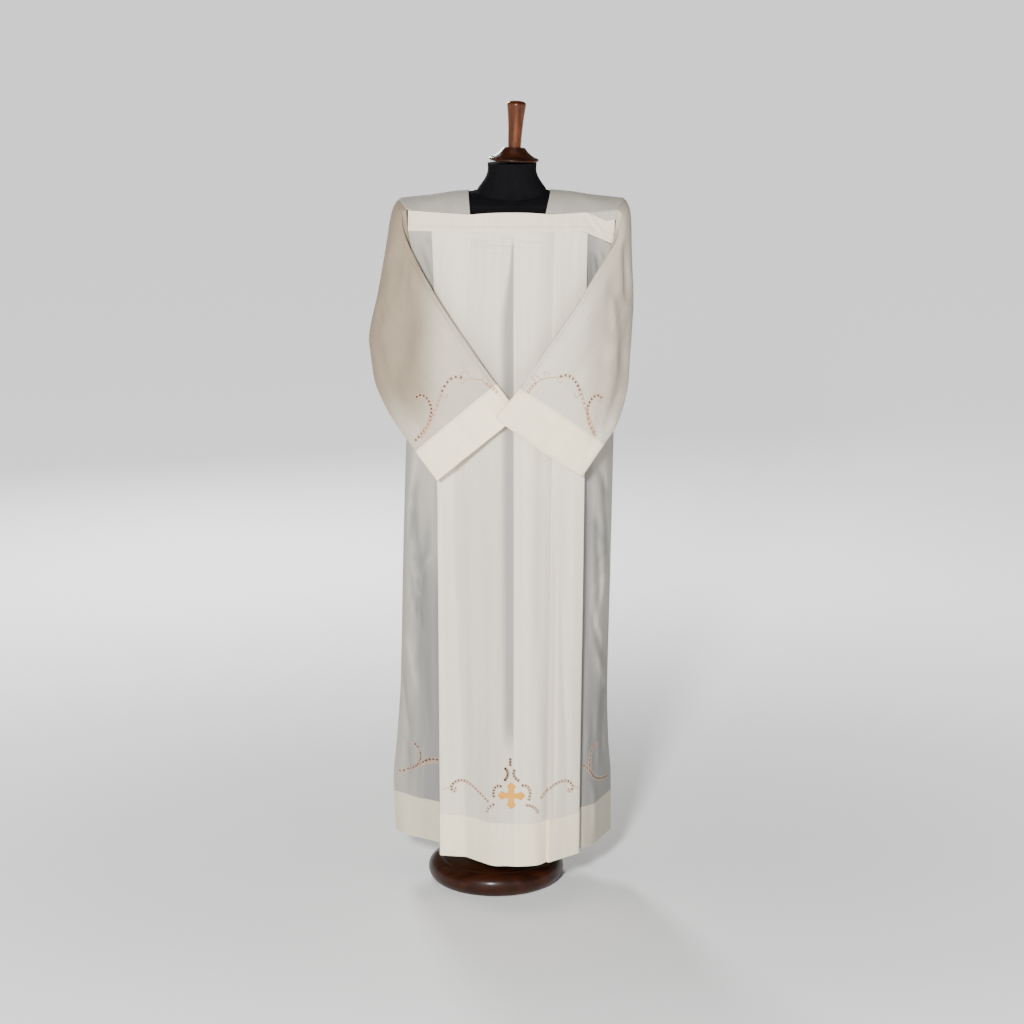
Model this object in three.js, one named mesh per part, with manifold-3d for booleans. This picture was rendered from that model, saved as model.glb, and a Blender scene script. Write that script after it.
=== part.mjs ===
// An alb (a long white vestment with a square neck) standing on a limbless dress form.
// Millimetres, +Z up. The origin is the centre of the wooden base's underside.
// The front of the garment faces -Y.
import * as THREE from 'three';
import Module from 'manifold-3d';
import { mergeVertices } from 'three/addons/utils/BufferGeometryUtils.js';

const wasm = await Module();
wasm.setup();

// ---------------------------------------------------------------- driving dimensions
const CLOTH = 1.4;            // single cloth, with its ease
const DOUBLE_CLOTH = 2.6;     // turned-up hems, and the neck bands
const SEAM = 0.3;             // space left between two pieces at a seam
const SHOULDER_HALF = 240;    // neck centre to shoulder point
const NECK_HALF = 82;         // half the width of the square neck
const BAND_REACH = 100;       // how far the front band stands before the shoulder ridge
const BACK_REACH = 96;        // the same for the back band
const BAND_DRAW = 0.42;       // share of its reach that a band's end is drawn in
const RIDGE_AT_NECK = 1535;   // height of the shoulder ridge beside the neck
const RIDGE_AT_SHOULDER = 1516;
const YOKE_DROP = 43;         // fall of the yoke from the ridge to a band 90 mm away
const BAND_BOTTOM = 1455;
const ROLL_START = 235;       // beyond this the shoulder rolls down
const ARMHOLE_BOTTOM = 1300;
const ARMHOLE_HALF = 64;      // half the armhole's depth from front to back
const ARMHOLE_SQUARENESS = 2.4;
const YOKE_CORNER = 220;      // neck centre to the yoke's corner at a band
const NECK_EASE = 5;          // the neck's edges stand this much out halfway along
const HEM = 95;               // height of the hem above the floor
const HEM_TOP = 190;          // where the turned-up hem is stitched
const CUFF_START = 0.885;     // share of the sleeve's length where its deep hem starts
const BASE_RADIUS = 151;
const BASE_HEIGHT = 58;
const POLE_RADIUS = 17;
const FORM_BOTTOM = 862;
const NECK_TOP = 1592;
const NECK_RADIUS = 52;
const CAP_RADIUS = 53;
const FINIAL_HEIGHT = 97;

// the garment leans slightly to +X with its form
const centreX = (z) => 14 + 0.014 * z;

const mix = (a, b, t) => a + (b - a) * t;
const clamp01 = (t) => Math.min(1, Math.max(0, t));
const smooth = (t) => clamp01(t) ** 2 * (3 - 2 * clamp01(t));

// a smooth value at z from rows sorted by falling z (a monotone cubic, so it never overshoots)
function levelValue(levels, values, z) {
  const last = levels.length - 1;
  if (z >= levels[0]) return values[0];
  if (z <= levels[last]) return values[last];
  const k = levels.findIndex((level, i) => i < last && z <= level && z >= levels[i + 1]);
  const slope = (i) => (values[i + 1] - values[i]) / (levels[i + 1] - levels[i]);
  const tangent = (i) => {
    if (i === 0) return slope(0);
    if (i === last) return slope(last - 1);
    const product = slope(i - 1) * slope(i);
    return product <= 0 ? 0 : (2 * product) / (slope(i - 1) + slope(i));
  };
  const h = levels[k + 1] - levels[k];
  const t = (z - levels[k]) / h;
  return (2 * t ** 3 - 3 * t ** 2 + 1) * values[k] + (t ** 3 - 2 * t ** 2 + t) * h * tangent(k)
    + (3 * t ** 2 - 2 * t ** 3) * values[k + 1] + (t ** 3 - t ** 2) * h * tangent(k + 1);
}

// ---------------------------------------------------------------- shoulders, neck and bands
// height of the shoulder surface at x (from the garment's centre) and y
function shoulderHeight(x, y) {
  const out = Math.abs(x);
  const fall = (RIDGE_AT_NECK - RIDGE_AT_SHOULDER) / (ROLL_START - NECK_HALF);
  const roll = 0.1 * Math.max(0, out - ROLL_START) ** 2;
  return RIDGE_AT_NECK - (Math.max(out, 60) - NECK_HALF) * fall - roll - YOKE_DROP * (y / 90) ** 2;
}

// plan curve of a band: `reach` at the centre, drawn in towards the armholes
const bandY = (x, reach) => reach * (1 - BAND_DRAW * (Math.abs(x) / 233) ** 1.4);

// top edge of a band: it meets the yokes, and arches a little across the neck
function bandTop(x, reach) {
  const atYoke = (out) => shoulderHeight(out, bandY(out, reach));
  if (Math.abs(x) >= NECK_HALF) return atYoke(Math.abs(x)) - SEAM;
  return atYoke(NECK_HALF) - SEAM + NECK_EASE * (1 - (x / NECK_HALF) ** 2);
}

// the front band's lower edge drops where its right end is folded under
const BAND_STEP = 21.7;
const FOLD_START = 7 * BAND_STEP;
const FOLD_DROP = 29;
const frontBandBottom = (x) => BAND_BOTTOM - FOLD_DROP * clamp01((x - FOLD_START) / (3 * BAND_STEP));
const backBandBottom = () => BAND_BOTTOM - 3;

// ---------------------------------------------------------------- side seams and armholes
const SIDE_LEVELS = [1455, 1380, 1300, 989, 728, 455, 316, 223, 95];
const SIDE_LEFT = [217, 206, 208, 221, 227, 231, 239, 246, 240];
const SIDE_RIGHT = [217, 206, 208, 228, 228, 227, 232, 240, 242];
const SIDE_Y = [0, 0, 0, 14, 20, 27, 31, 34, 40];

const sideX = (side, z) => Math.sign(side)
  * levelValue(SIDE_LEVELS, side < 0 ? SIDE_LEFT : SIDE_RIGHT, z);

// half the armhole's depth at height z
function armholeHalf(z) {
  const down = clamp01((BAND_BOTTOM - z) / (BAND_BOTTOM - ARMHOLE_BOTTOM));
  return ARMHOLE_HALF * (1 - down ** ARMHOLE_SQUARENESS) ** (1 / ARMHOLE_SQUARENESS);
}

// y of a panel's side edge; face is -1 for the front panel and 1 for the back one
function sideY(face, z) {
  if (z > ARMHOLE_BOTTOM) return face * (armholeHalf(z) + SEAM / 2);
  return levelValue(SIDE_LEVELS, SIDE_Y, z) + face * SEAM / 2;
}

// x and y of the yoke's outer edge, t from -1 at the front to 1 at the back
const yokeOuterX = (t) => YOKE_CORNER + (SHOULDER_HALF - YOKE_CORNER) * (1 - t * t);

// ---------------------------------------------------------------- the pleated panels
// Each row is a fold line that runs from the band to the hem. xTop and setTop give it at the
// band (setTop is how far it lies behind the band), then x and y at the chest, waist and hem.
const FOLD_LEVELS = [BAND_BOTTOM, ARMHOLE_BOTTOM, 950, HEM];
const FRONT_FOLDS = [
  // xTop, setTop, xChest, yChest, xWaist, yWaist, xHem, yHem
  [-200, 4.0, -190, -52, -213, -16, -224, 8],       // left side panel
  [-184, 7.2, -168, -70, -182, -48, -182, -22],
  [-127, 7.2, -121, -84, -108, -80, -97, -76],      // hidden turn of the left pleat
  [-126, 3.6, -120, -88, -106, -85, -94, -82],
  [-166, 3.6, -159, -78, -151, -94, -137, -126],    // left edge of the centre panel
  [-167, 0.0, -160, -82, -151, -99, -136, -132],
  [-80, 0.0, -82, -104, -88, -116, -76, -149],      // soft crease
  [-10, 0.0, -9, -114, -12, -137, -16, -203],       // centre trough
  [-2, 2.5, -1, -110, 2, -128, 14, -199],
  [4, 0.0, 6, -115, 15, -138, 42, -204],
  [50, 0.0, 50, -111, 55, -131, 79, -196],
  [85, 0.0, 84, -104, 90, -116, 95, -174],          // crisp crease
  [92, 0.0, 92, -104, 95, -119, 101, -177],
  [160, 0.0, 160, -83, 163, -99, 167, -118],        // right edge of the centre panel
  [159, 3.6, 159, -79, 163, -94, 167.5, -112],
  [119, 3.6, 119, -90, 116, -84, 118, -92],         // hidden turn of the right pleat
  [120, 7.2, 120, -86, 115, -79, 116, -86],
  [180, 7.2, 166, -70, 186, -62, 172, -93],         // right side panel
  [200, 4.0, 190, -52, 213, -28, 200, -64],
];
const BACK_FOLDS = [
  [-200, 4.0, -190, 52, -212, 62, -222, 80],
  [-170, 7.2, -164, 72, -178, 84, -186, 98],
  [-100, 7.2, -98, 86, -96, 92, -100, 104],
  [-99, 3.6, -97, 90, -94, 97, -97, 110],
  [-139, 3.6, -138, 82, -135, 108, -132, 140],
  [-140, 0.0, -139, 86, -135, 113, -131, 146],
  [-66, 0.0, -66, 104, -70, 124, -72, 152],
  [-12, 0.0, -12, 110, -16, 136, -24, 178],
  [0, 2.5, 0, 106, -2, 126, -4, 164],
  [11, 0.0, 12, 110, 14, 135, 20, 180],
  [62, 0.0, 62, 105, 64, 124, 70, 158],
  [134, 0.0, 134, 87, 138, 111, 142, 140],
  [133, 3.6, 133, 83, 138, 106, 143, 134],
  [93, 3.6, 93, 92, 95, 96, 99, 108],
  [94, 7.2, 94, 88, 97, 91, 102, 102],
  [166, 7.2, 162, 73, 176, 82, 184, 96],
  [200, 4.0, 190, 52, 214, 58, 224, 76],
];
const FRONT = { face: -1, reach: BAND_REACH, folds: FRONT_FOLDS, bottom: frontBandBottom };
const BACK = { face: 1, reach: BACK_REACH, folds: BACK_FOLDS, bottom: backBandBottom };
const BAND_LEAN = 5;          // the band's lower edge stands this much further out

// x and y of one fold line at height z
function foldAt(panel, fold, z) {
  const [xTop, setTop, xChest, yChest, xWaist, yWaist, xHem, yHem] = fold;
  const yTop = panel.face * (bandY(xTop, panel.reach) + BAND_LEAN - setTop);
  return [
    levelValue(FOLD_LEVELS, [xTop, xChest, xWaist, xHem], z),
    levelValue(FOLD_LEVELS, [yTop, yChest, yWaist, yHem], z),
  ];
}

// the panel's whole section at height z: side edge, folds, side edge. A stretch that is long
// at the hem gets a point halfway.
const LONG_STRETCH = 18;

function panelSection(panel, z) {
  const corners = [
    [sideX(-1, z), sideY(panel.face, z)],
    ...panel.folds.map((fold) => foldAt(panel, fold, z)),
    [sideX(1, z), sideY(panel.face, z)],
  ];
  const hemPoint = (k) => foldAt(panel, panel.folds[k], HEM);
  const hemLength = (k) => Math.hypot(...hemPoint(k).map((value, axis) => value - hemPoint(k - 1)[axis]));
  const isLong = (k) => k === 0 || k === panel.folds.length || hemLength(k) > LONG_STRETCH;
  return corners.flatMap(([x, y], k) => {
    if (k === 0 || !isLong(k - 1)) return [[x, y]];
    const [px, py] = corners[k - 1];
    return [[(x + px) / 2, (y + py) / 2], [x, y]];
  });
}

// plan normals of a section, mitred at the folds. At its ends they turn from facing the front
// or back beside the armhole to facing sideways along the side seam.
function sectionNormals(points, face, z) {
  const edge = (k) => {
    const [ax, ay] = points[k];
    const [bx, by] = points[k + 1];
    const length = Math.hypot(bx - ax, by - ay);
    return [(by - ay) / length * face, (ax - bx) / length * face].map((value) => -value);
  };
  const last = points.length - 1;
  const turn = Math.PI / 2 * smooth((1400 - z) / 90);
  return points.map((_, k) => {
    if (k === 0) return [-Math.sin(turn), face * Math.cos(turn)];
    if (k === last) return [Math.sin(turn), face * Math.cos(turn)];
    const before = edge(k - 1);
    const after = edge(k);
    const sum = [before[0] + after[0], before[1] + after[1]];
    const length = Math.hypot(...sum);
    const dot = (sum[0] * after[0] + sum[1] * after[1]) / length;
    const mitre = Math.min(1.6, 1 / Math.max(dot, 0.2));
    return [sum[0] / length * mitre, sum[1] / length * mitre];
  });
}

// ---------------------------------------------------------------- walls from grids
// Two faces of a wall stand half its thickness either side of a grid of points, joined at the
// rims. lift moves the wall out; around: the grid closes on itself along a row.
function wallGeometry(points, normals, thickness, { lift = 0, around = false } = {}) {
  const rows = points.length;
  const columns = points[0].length;
  const positions = [];
  for (const side of [1, -1]) {
    points.forEach((row, i) => row.forEach((p, j) => {
      const n = normals[i][j];
      const half = lift + side * thickness(i, j) / 2;
      positions.push(p[0] + n[0] * half, p[1] + n[1] * half, p[2] + n[2] * half);
    }));
  }
  const inner = rows * columns;
  const index = [];
  const quad = (a, b, c, d) => index.push(a, b, c, a, c, d);
  const at = (i, j) => i * columns + (j % columns);
  const spans = around ? columns : columns - 1;
  for (let i = 0; i < rows - 1; i += 1) {
    for (let j = 0; j < spans; j += 1) {
      quad(at(i, j), at(i + 1, j), at(i + 1, j + 1), at(i, j + 1));
      quad(inner + at(i, j), inner + at(i, j + 1), inner + at(i + 1, j + 1), inner + at(i + 1, j));
    }
  }
  for (let j = 0; j < spans; j += 1) {
    quad(at(0, j), at(0, j + 1), inner + at(0, j + 1), inner + at(0, j));
    const e = rows - 1;
    quad(at(e, j + 1), at(e, j), inner + at(e, j), inner + at(e, j + 1));
  }
  if (!around) {
    for (let i = 0; i < rows - 1; i += 1) {
      const e = columns - 1;
      quad(at(i + 1, 0), at(i, 0), inner + at(i, 0), inner + at(i + 1, 0));
      quad(at(i, e), at(i + 1, e), inner + at(i + 1, e), inner + at(i, e));
    }
  }
  return facingOut(positions, index);
}

// a geometry whose triangles point outwards, told by the sign of its volume
function facingOut(positions, index) {
  let volume = 0;
  const corner = (k) => new THREE.Vector3().fromArray(positions, index[k] * 3);
  for (let k = 0; k < index.length; k += 3) {
    volume += corner(k).dot(corner(k + 1).cross(corner(k + 2)));
  }
  if (volume < 0) {
    for (let k = 0; k < index.length; k += 3) [index[k], index[k + 1]] = [index[k + 1], index[k]];
  }
  const geometry = new THREE.BufferGeometry();
  geometry.setAttribute('position', new THREE.Float32BufferAttribute(positions, 3));
  geometry.setIndex(index);
  return geometry;
}

// unit normals of a grid of points
function gridNormals(points, around = false) {
  const rows = points.length;
  const columns = points[0].length;
  const wrap = (j) => (around ? (j + columns) % columns : Math.min(columns - 1, Math.max(0, j)));
  return points.map((row, i) => row.map((p, j) => {
    const up = points[Math.max(0, i - 1)][j];
    const down = points[Math.min(rows - 1, i + 1)][j];
    const along = new THREE.Vector3(...row[wrap(j + 1)]).sub(new THREE.Vector3(...row[wrap(j - 1)]));
    const across = new THREE.Vector3(...down).sub(new THREE.Vector3(...up));
    return along.cross(across).normalize().toArray();
  }));
}

const leaned = ([x, y, z]) => [x + centreX(z), y, z];
const leanedGrid = (points) => points.map((row) => row.map(leaned));

// ---------------------------------------------------------------- front and back panels
const PANEL_ROWS = [BAND_BOTTOM, 1400, 1370, 1340, 1315, ARMHOLE_BOTTOM, 1190, 1070, 950, 780, 600,
  430, 310, HEM_TOP + 1, HEM_TOP - 1, HEM];

// the panel's points and normals, a row for each height; the first row meets the band
function panelGrid(panel) {
  const top = panelSection(panel, BAND_BOTTOM);
  const points = [];
  const normals = [];
  PANEL_ROWS.forEach((level, i) => {
    points.push([]);
    normals.push([]);
    top.forEach(([xTop], j) => {
      const z = i === 0 ? panel.bottom(xTop + CLOTH) - SEAM : level;
      const section = panelSection(panel, z);
      points[i].push([...section[j], z]);
      normals[i].push([...sectionNormals(section, panel.face, z)[j], 0]);
    });
  });
  return { points, normals };
}

function panelGeometry({ points, normals }) {
  const thickness = (i) => (PANEL_ROWS[i] < HEM_TOP ? DOUBLE_CLOTH : CLOTH);
  return wallGeometry(leanedGrid(points), normals, thickness);
}

const frontGrid = panelGrid(FRONT);

// where the front panel's foremost layer is at x and z: its y and its normal in plan
function panelFront(x, z) {
  const { points, normals } = frontGrid;
  const below = Math.max(1, PANEL_ROWS.findIndex((level) => level <= z));
  const share = clamp01((PANEL_ROWS[below - 1] - z) / (PANEL_ROWS[below - 1] - PANEL_ROWS[below]));
  const at = (grid, k, axis) => mix(grid[below - 1][k][axis], grid[below][k][axis], share);
  let foremost = { y: Infinity, normal: [0, -1] };
  for (let k = 1; k < points[0].length; k += 1) {
    const ax = at(points, k - 1, 0);
    const bx = at(points, k, 0);
    const along = (x - ax) / (bx - ax);
    const y = mix(at(points, k - 1, 1), at(points, k, 1), along);
    if (along >= 0 && along <= 1 && y < foremost.y) {
      const normal = [0, 1].map((axis) => mix(at(normals, k - 1, axis), at(normals, k, axis), along));
      foremost = { y, normal };
    }
  }
  return foremost;
}

// ---------------------------------------------------------------- bands and yokes
function bandGeometry(panel) {
  const STEPS = 10;             // from the centre to each end
  const points = [0, 0.5, 1].map((share) => Array.from({ length: 2 * STEPS + 1 }, (_, j) => {
    const x = (j - STEPS) * BAND_STEP;
    const z = mix(bandTop(x, panel.reach) - SEAM, panel.bottom(x), share);
    const end = Math.abs(sideX(Math.sign(x) || 1, z));
    const inside = Math.sign(x) * Math.min(Math.abs(x), end);
    return [inside, panel.face * (bandY(x, panel.reach) + BAND_LEAN * share), z];
  }));
  const normals = gridNormals(points).map((row) => row.map(([nx, ny, nz], j) => (
    j === 0 || j === row.length - 1 ? [0, ny, nz] : [nx, ny, nz])));
  return wallGeometry(leanedGrid(points), normals, () => DOUBLE_CLOTH);
}

// one shoulder piece, from the front band over the ridge to the back band
function yokeGeometry(side) {
  const ACROSS = 6;
  const ALONG = 12;
  const points = [];
  for (let i = 0; i <= ALONG; i += 1) {
    const t = mix(-1, 1, i / ALONG);
    const reach = t < 0 ? BAND_REACH : BACK_REACH;
    const row = [];
    for (let j = 0; j <= ACROSS; j += 1) {
      const x = mix(NECK_HALF + NECK_EASE * (1 - t * t), yokeOuterX(t), j / ACROSS);
      const y = t * bandY(x, reach);
      row.push([side * x, y, shoulderHeight(x, y)]);
    }
    points.push(row);
  }
  const normals = gridNormals(points).map((row) => row.map((n) => n.map((v) => v * Math.sign(n[2]))));
  return wallGeometry(leanedGrid(points), normals, () => CLOTH, { lift: SEAM + CLOTH / 2 });
}

// ---------------------------------------------------------------- sleeves
// A sleeve is a flattened tube. Each row gives, at share s of its length, the upper fold T and
// the lower fold B (x away from the centre line, y, z) and half the tube's thickness.
const LEFT_SLEEVE = [
  // s, Tx, Ty, Tz, Bx, By, Bz, half thickness
  [0.08, -225, -70, 1474, -240, 40, 1292, 44],
  [0.20, -204, -90, 1446, -262, 24, 1232, 38],
  [0.35, -169, -112, 1394, -292, -2, 1200, 32],
  [0.50, -128, -127, 1325, -286, -35, 1140, 27],
  [0.65, -86, -139, 1257, -260, -66, 1079, 23],
  [0.80, -45, -148, 1190, -224, -97, 1018, 18],
  [0.90, -11, -154, 1136, -184, -126, 987, 14],
  [1.00, 23, -159, 1080, -149, -143, 936, 12],
];
const RIGHT_SLEEVE = [
  [0.08, 240, -58, 1474, 238, 40, 1294, 40],
  [0.20, 220, -84, 1434, 252, 24, 1240, 36],
  [0.35, 182, -110, 1382, 258, -6, 1196, 34],
  [0.50, 142, -128, 1316, 256, -38, 1132, 30],
  [0.65, 102, -144, 1255, 244, -66, 1082, 26],
  [0.80, 55, -164, 1186, 220, -98, 1032, 21],
  [0.90, 16, -180, 1130, 188, -128, 1003, 16],
  [1.00, -26, -194, 1080, 157, -148, 947, 13],
];
const RING_POINTS = 32;
const RING_SQUARENESS = 2.3;
const INNER_SHARE = 0.15;     // beside the body a sleeve's inner layer bulges this much less
const BODY_CLEARANCE = 6;     // a sleeve lies this far before the panel behind it
const PLEAT_STEP = 14;        // and it clears what stands forward this far to either side

// a smooth value along a sleeve table's column
function sleeveValue(table, column, s) {
  return levelValue(table.map((row) => -row[0]), table.map((row) => row[column]), -s);
}

// the armhole as a closed line, from its front upper corner over the shoulder and round
function armholeLine(side) {
  const line = [];
  const steps = 24;
  for (let k = 0; k <= steps; k += 1) {
    const t = mix(-1, 1, k / steps);
    const x = yokeOuterX(t);
    const y = t * bandY(x, t < 0 ? BAND_REACH : BACK_REACH);
    line.push([side * x, y, shoulderHeight(x, y) + SEAM + CLOTH / 2]);
  }
  const down = [];
  for (let k = 0; k <= steps; k += 1) {
    const z = ARMHOLE_BOTTOM + (BAND_BOTTOM - ARMHOLE_BOTTOM) * (1 - Math.sin(Math.PI / 2 * k / steps));
    down.push(z);
  }
  down.forEach((z) => line.push([sideX(side, z), armholeHalf(z), z]));
  down.reverse().slice(1).forEach((z) => line.push([sideX(side, z), -armholeHalf(z), z]));
  return line;
}

// equally spaced points on a closed line
function evenlySpaced(line, count) {
  const closed = [...line, line[0]].map((p) => new THREE.Vector3(...p));
  const reached = [0];
  for (let k = 1; k < closed.length; k += 1) {
    reached.push(reached[k - 1] + closed[k].distanceTo(closed[k - 1]));
  }
  const total = reached[reached.length - 1];
  return Array.from({ length: count }, (_, j) => {
    const want = total * j / count;
    const k = Math.max(1, reached.findIndex((length) => length > want));
    const t = (want - reached[k - 1]) / (reached[k] - reached[k - 1]);
    return closed[k - 1].clone().lerp(closed[k], t).toArray();
  });
}

function sleeveCentre(table, s) {
  const at = (column) => sleeveValue(table, column, s);
  return new THREE.Vector3((at(1) + at(4)) / 2, (at(2) + at(5)) / 2, (at(3) + at(6)) / 2);
}

// one flattened ring of the sleeve
function sleeveRing(table, side, s) {
  const at = (column) => sleeveValue(table, column, s);
  const half = new THREE.Vector3((at(1) - at(4)) / 2, (at(2) - at(5)) / 2, (at(3) - at(6)) / 2);
  const centre = sleeveCentre(table, s);
  const axis = sleeveCentre(table, Math.min(1, s + 0.06)).sub(sleeveCentre(table, Math.max(0.08, s - 0.06)));
  const outward = half.clone().cross(axis).normalize();
  if (outward.x * side - outward.y < 0) outward.negate();
  const bent = (value) => Math.sign(value) * Math.abs(value) ** (2 / RING_SQUARENESS);
  const inner = mix(INNER_SHARE, 1, smooth((s - 0.3) / 0.5));
  return Array.from({ length: RING_POINTS }, (_, j) => {
    const angle = 2 * Math.PI * j / RING_POINTS;
    const bulge = at(7) * bent(Math.sin(angle)) * (angle > Math.PI ? inner : 1);
    return centre.clone().addScaledVector(half, bent(Math.cos(angle)))
      .addScaledVector(outward, bulge).toArray();
  });
}

// moves a point of a sleeve forward until it is clear of the front panel
function clearOfBody([x, y, z]) {
  if (Math.abs(x) >= Math.abs(sideX(x, z)) || y > 10) return [x, y, z];
  const level = Math.min(z, BAND_BOTTOM);
  const limit = Math.abs(sideX(x, level)) - 0.5;
  const fronts = [-PLEAT_STEP, 0, PLEAT_STEP].map((step) => (
    panelFront(Math.max(-limit, Math.min(limit, x + step)), level).y));
  return [x, Math.min(y, ...fronts.map((front) => front - BODY_CLEARANCE)), z];
}

const SLEEVE_STEPS = [0, 0.03, 0.07, 0.12, 0.18, 0.25, 0.33, 0.42, 0.51, 0.6, 0.69, 0.78,
  CUFF_START - 0.003, CUFF_START + 0.003, 1];

function sleeveGeometry(side, table) {
  const armhole = evenlySpaced(armholeLine(side), RING_POINTS);
  const points = SLEEVE_STEPS.map((s) => {
    const ring = sleeveRing(table, side, Math.max(s, table[0][0]));
    const blend = smooth(s / 0.22);
    return armhole.map((start, j) => {
      const away = s === 0 ? 1.0 + 0.2 * smooth((1400 - start[2]) / 60) : 80 * s;
      const begun = [start[0] + side * away, start[1], start[2] - 60 * s * s];
      const point = begun.map((value, axis) => mix(value, ring[j][axis], blend));
      return s === 0 ? point : clearOfBody(point);
    });
  });
  const normals = gridNormals(points, true);
  normals[0] = normals[0].map(([, ny, nz]) => new THREE.Vector3(0, ny, nz).normalize().toArray());
  const thickness = (i) => (SLEEVE_STEPS[i] > CUFF_START ? DOUBLE_CLOTH - 0.4 : CLOTH);
  return wallGeometry(leanedGrid(points), normals, thickness, { around: true });
}

// ---------------------------------------------------------------- dress form and stand
// Rings of the form from the hips up: half width, half depth and height. The last rows lie on
// the shoulder surface, so their height is worked out there.
const FORM_RINGS = [
  { a: 90, b: 60, z: FORM_BOTTOM },
  { a: 128, b: 76, z: FORM_BOTTOM + 6 },
  { a: 146, b: 84, z: 900 },
  { a: 152, b: 86, z: 990 },
  { a: 138, b: 80, z: 1110 },
  { a: 146, b: 83, z: 1210 },
  { a: 165, b: 88, z: 1310 },
  { a: 180, b: 84, z: 1400 },
  { a: 190, b: 78, z: 1455 },
  { a: 200, b: 75 },
  { a: 160, b: 69 },
  { a: 112, b: 63 },
  { a: 78, b: 58 },
  { a: 60, b: 54, z: 1556 },
  { a: NECK_RADIUS, b: NECK_RADIUS, z: 1574 },
  { a: NECK_RADIUS, b: NECK_RADIUS, z: NECK_TOP },
];
const FORM_POINTS = 32;
const FORM_SQUARENESS = 2.25;
const FORM_REST = 0.35;       // the form's shoulders lie this far below the yoke's seat

function formGeometry() {
  const positions = [];
  const index = [];
  FORM_RINGS.forEach(({ a, b, z }) => {
    for (let j = 0; j < FORM_POINTS; j += 1) {
      const angle = 2 * Math.PI * j / FORM_POINTS;
      const bent = (value) => Math.sign(value) * Math.abs(value) ** (2 / FORM_SQUARENESS);
      const x = a * bent(Math.cos(angle));
      const y = b * bent(Math.sin(angle));
      positions.push(...leaned([x, y, z ?? shoulderHeight(x, y) - FORM_REST]));
    }
  });
  const last = FORM_RINGS.length - 1;
  for (let i = 0; i < last; i += 1) {
    for (let j = 0; j < FORM_POINTS; j += 1) {
      const next = (j + 1) % FORM_POINTS;
      const [p, q] = [i * FORM_POINTS, (i + 1) * FORM_POINTS];
      index.push(p + j, p + next, q + next, p + j, q + next, q + j);
    }
  }
  const bottom = positions.length / 3;
  positions.push(...leaned([0, 0, FORM_BOTTOM]), ...leaned([0, 0, NECK_TOP]));
  for (let j = 0; j < FORM_POINTS; j += 1) {
    const next = (j + 1) % FORM_POINTS;
    index.push(bottom, next, j, bottom + 1, last * FORM_POINTS + j, last * FORM_POINTS + next);
  }
  return facingOut(positions, index);
}

// a turned piece from its outline, [radius, height] from the bottom up
function turnedGeometry(outline, segments) {
  const profile = [[0, outline[0][1]], ...outline, [0, outline[outline.length - 1][1]]]
    .map(([radius, height]) => new THREE.Vector2(radius, height));
  const geometry = new THREE.LatheGeometry(profile, segments);
  geometry.rotateX(Math.PI / 2);
  return geometry;
}

const BASE_OUTLINE = [
  [BASE_RADIUS - 21, 0], [BASE_RADIUS - 10, 3], [BASE_RADIUS - 2, 14], [BASE_RADIUS, 26],
  [BASE_RADIUS - 4, 38], [BASE_RADIUS - 15, 47], [BASE_RADIUS - 27, 50], [BASE_RADIUS - 31, 48],
  [BASE_RADIUS - 36, 49], [BASE_RADIUS - 64, 54], [30, BASE_HEIGHT],
];
const POLE_OUTLINE = [
  [29, 0], [31, 6], [29, 12], [22, 20], [POLE_RADIUS + 1, 32], [POLE_RADIUS, 50],
  [POLE_RADIUS, FORM_BOTTOM - BASE_HEIGHT - 2],
];
const CAP_OUTLINE = [
  [CAP_RADIUS - 6, 0], [CAP_RADIUS - 1, 2], [CAP_RADIUS, 5], [CAP_RADIUS - 3, 8],
  [CAP_RADIUS - 11, 11], [36, 15], [30, 20], [25, 26], [22, 29],
];
const FINIAL_OUTLINE = [
  [13.5, 0], [14, 10], [15, 35], [17, 62], [19, 80], [20, 88], [19, 93], [14, 96], [7, FINIAL_HEIGHT],
];

// ---------------------------------------------------------------- openwork of the hem
// Eyelets are six-sided holes through the front layer, listed by their arcs: centre x and z of
// the arc, its radius, first and last angle in degrees, number of holes, and hole diameter.
const EYELET_ARCS = [
  // x, z, radius, from, to, count, diameter
  [-25, 325, 40, 9, -9, 3, 4.9],
  [-8, 298, 16, 54, -56, 6, 4.6],
  [41, 303, 19, 158, 246, 5, 4.4],
  [-217, 287, 33, 52, -72, 9, 4.6],
  [-155, 249, 38, 122, 76, 3, 4.6],
  [122, 239, 29, 62, 20, 3, 4.3],
  [224, 268, 32, 192, 266, 5, 4.4],
];

function eyeletCutter(x, z, diameter) {
  const { y, normal: [nx, ny] } = panelFront(x, z);
  const cutter = new THREE.CylinderGeometry(diameter / 2, diameter / 2, 5 * CLOTH, 6);
  cutter.applyQuaternion(new THREE.Quaternion().setFromUnitVectors(
    new THREE.Vector3(0, 1, 0),
    new THREE.Vector3(nx, ny, 0).normalize(),
  ));
  cutter.translate(...leaned([x, y, z]));
  return cutter;
}

function eyeletCutters() {
  return EYELET_ARCS.flatMap(([x, z, radius, from, to, count, diameter]) => (
    Array.from({ length: count }, (_, k) => {
      const angle = THREE.MathUtils.degToRad(mix(from, to, k / (count - 1)));
      return eyeletCutter(x + radius * Math.cos(angle), z + radius * Math.sin(angle), diameter);
    })
  ));
}

function toManifold(geometry) {
  const bare = geometry.clone();
  bare.deleteAttribute('normal');
  bare.deleteAttribute('uv');
  const merged = mergeVertices(bare, 1e-4);
  return new wasm.Manifold(new wasm.Mesh({
    numProp: 3,
    vertProperties: Float32Array.from(merged.attributes.position.array),
    triVerts: Uint32Array.from(merged.index.array),
  }));
}

function fromManifold(solid) {
  const { vertProperties, triVerts } = solid.getMesh();
  const geometry = new THREE.BufferGeometry();
  geometry.setAttribute('position', new THREE.Float32BufferAttribute(vertProperties, 3));
  geometry.setIndex(Array.from(triVerts));
  return geometry;
}

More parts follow.
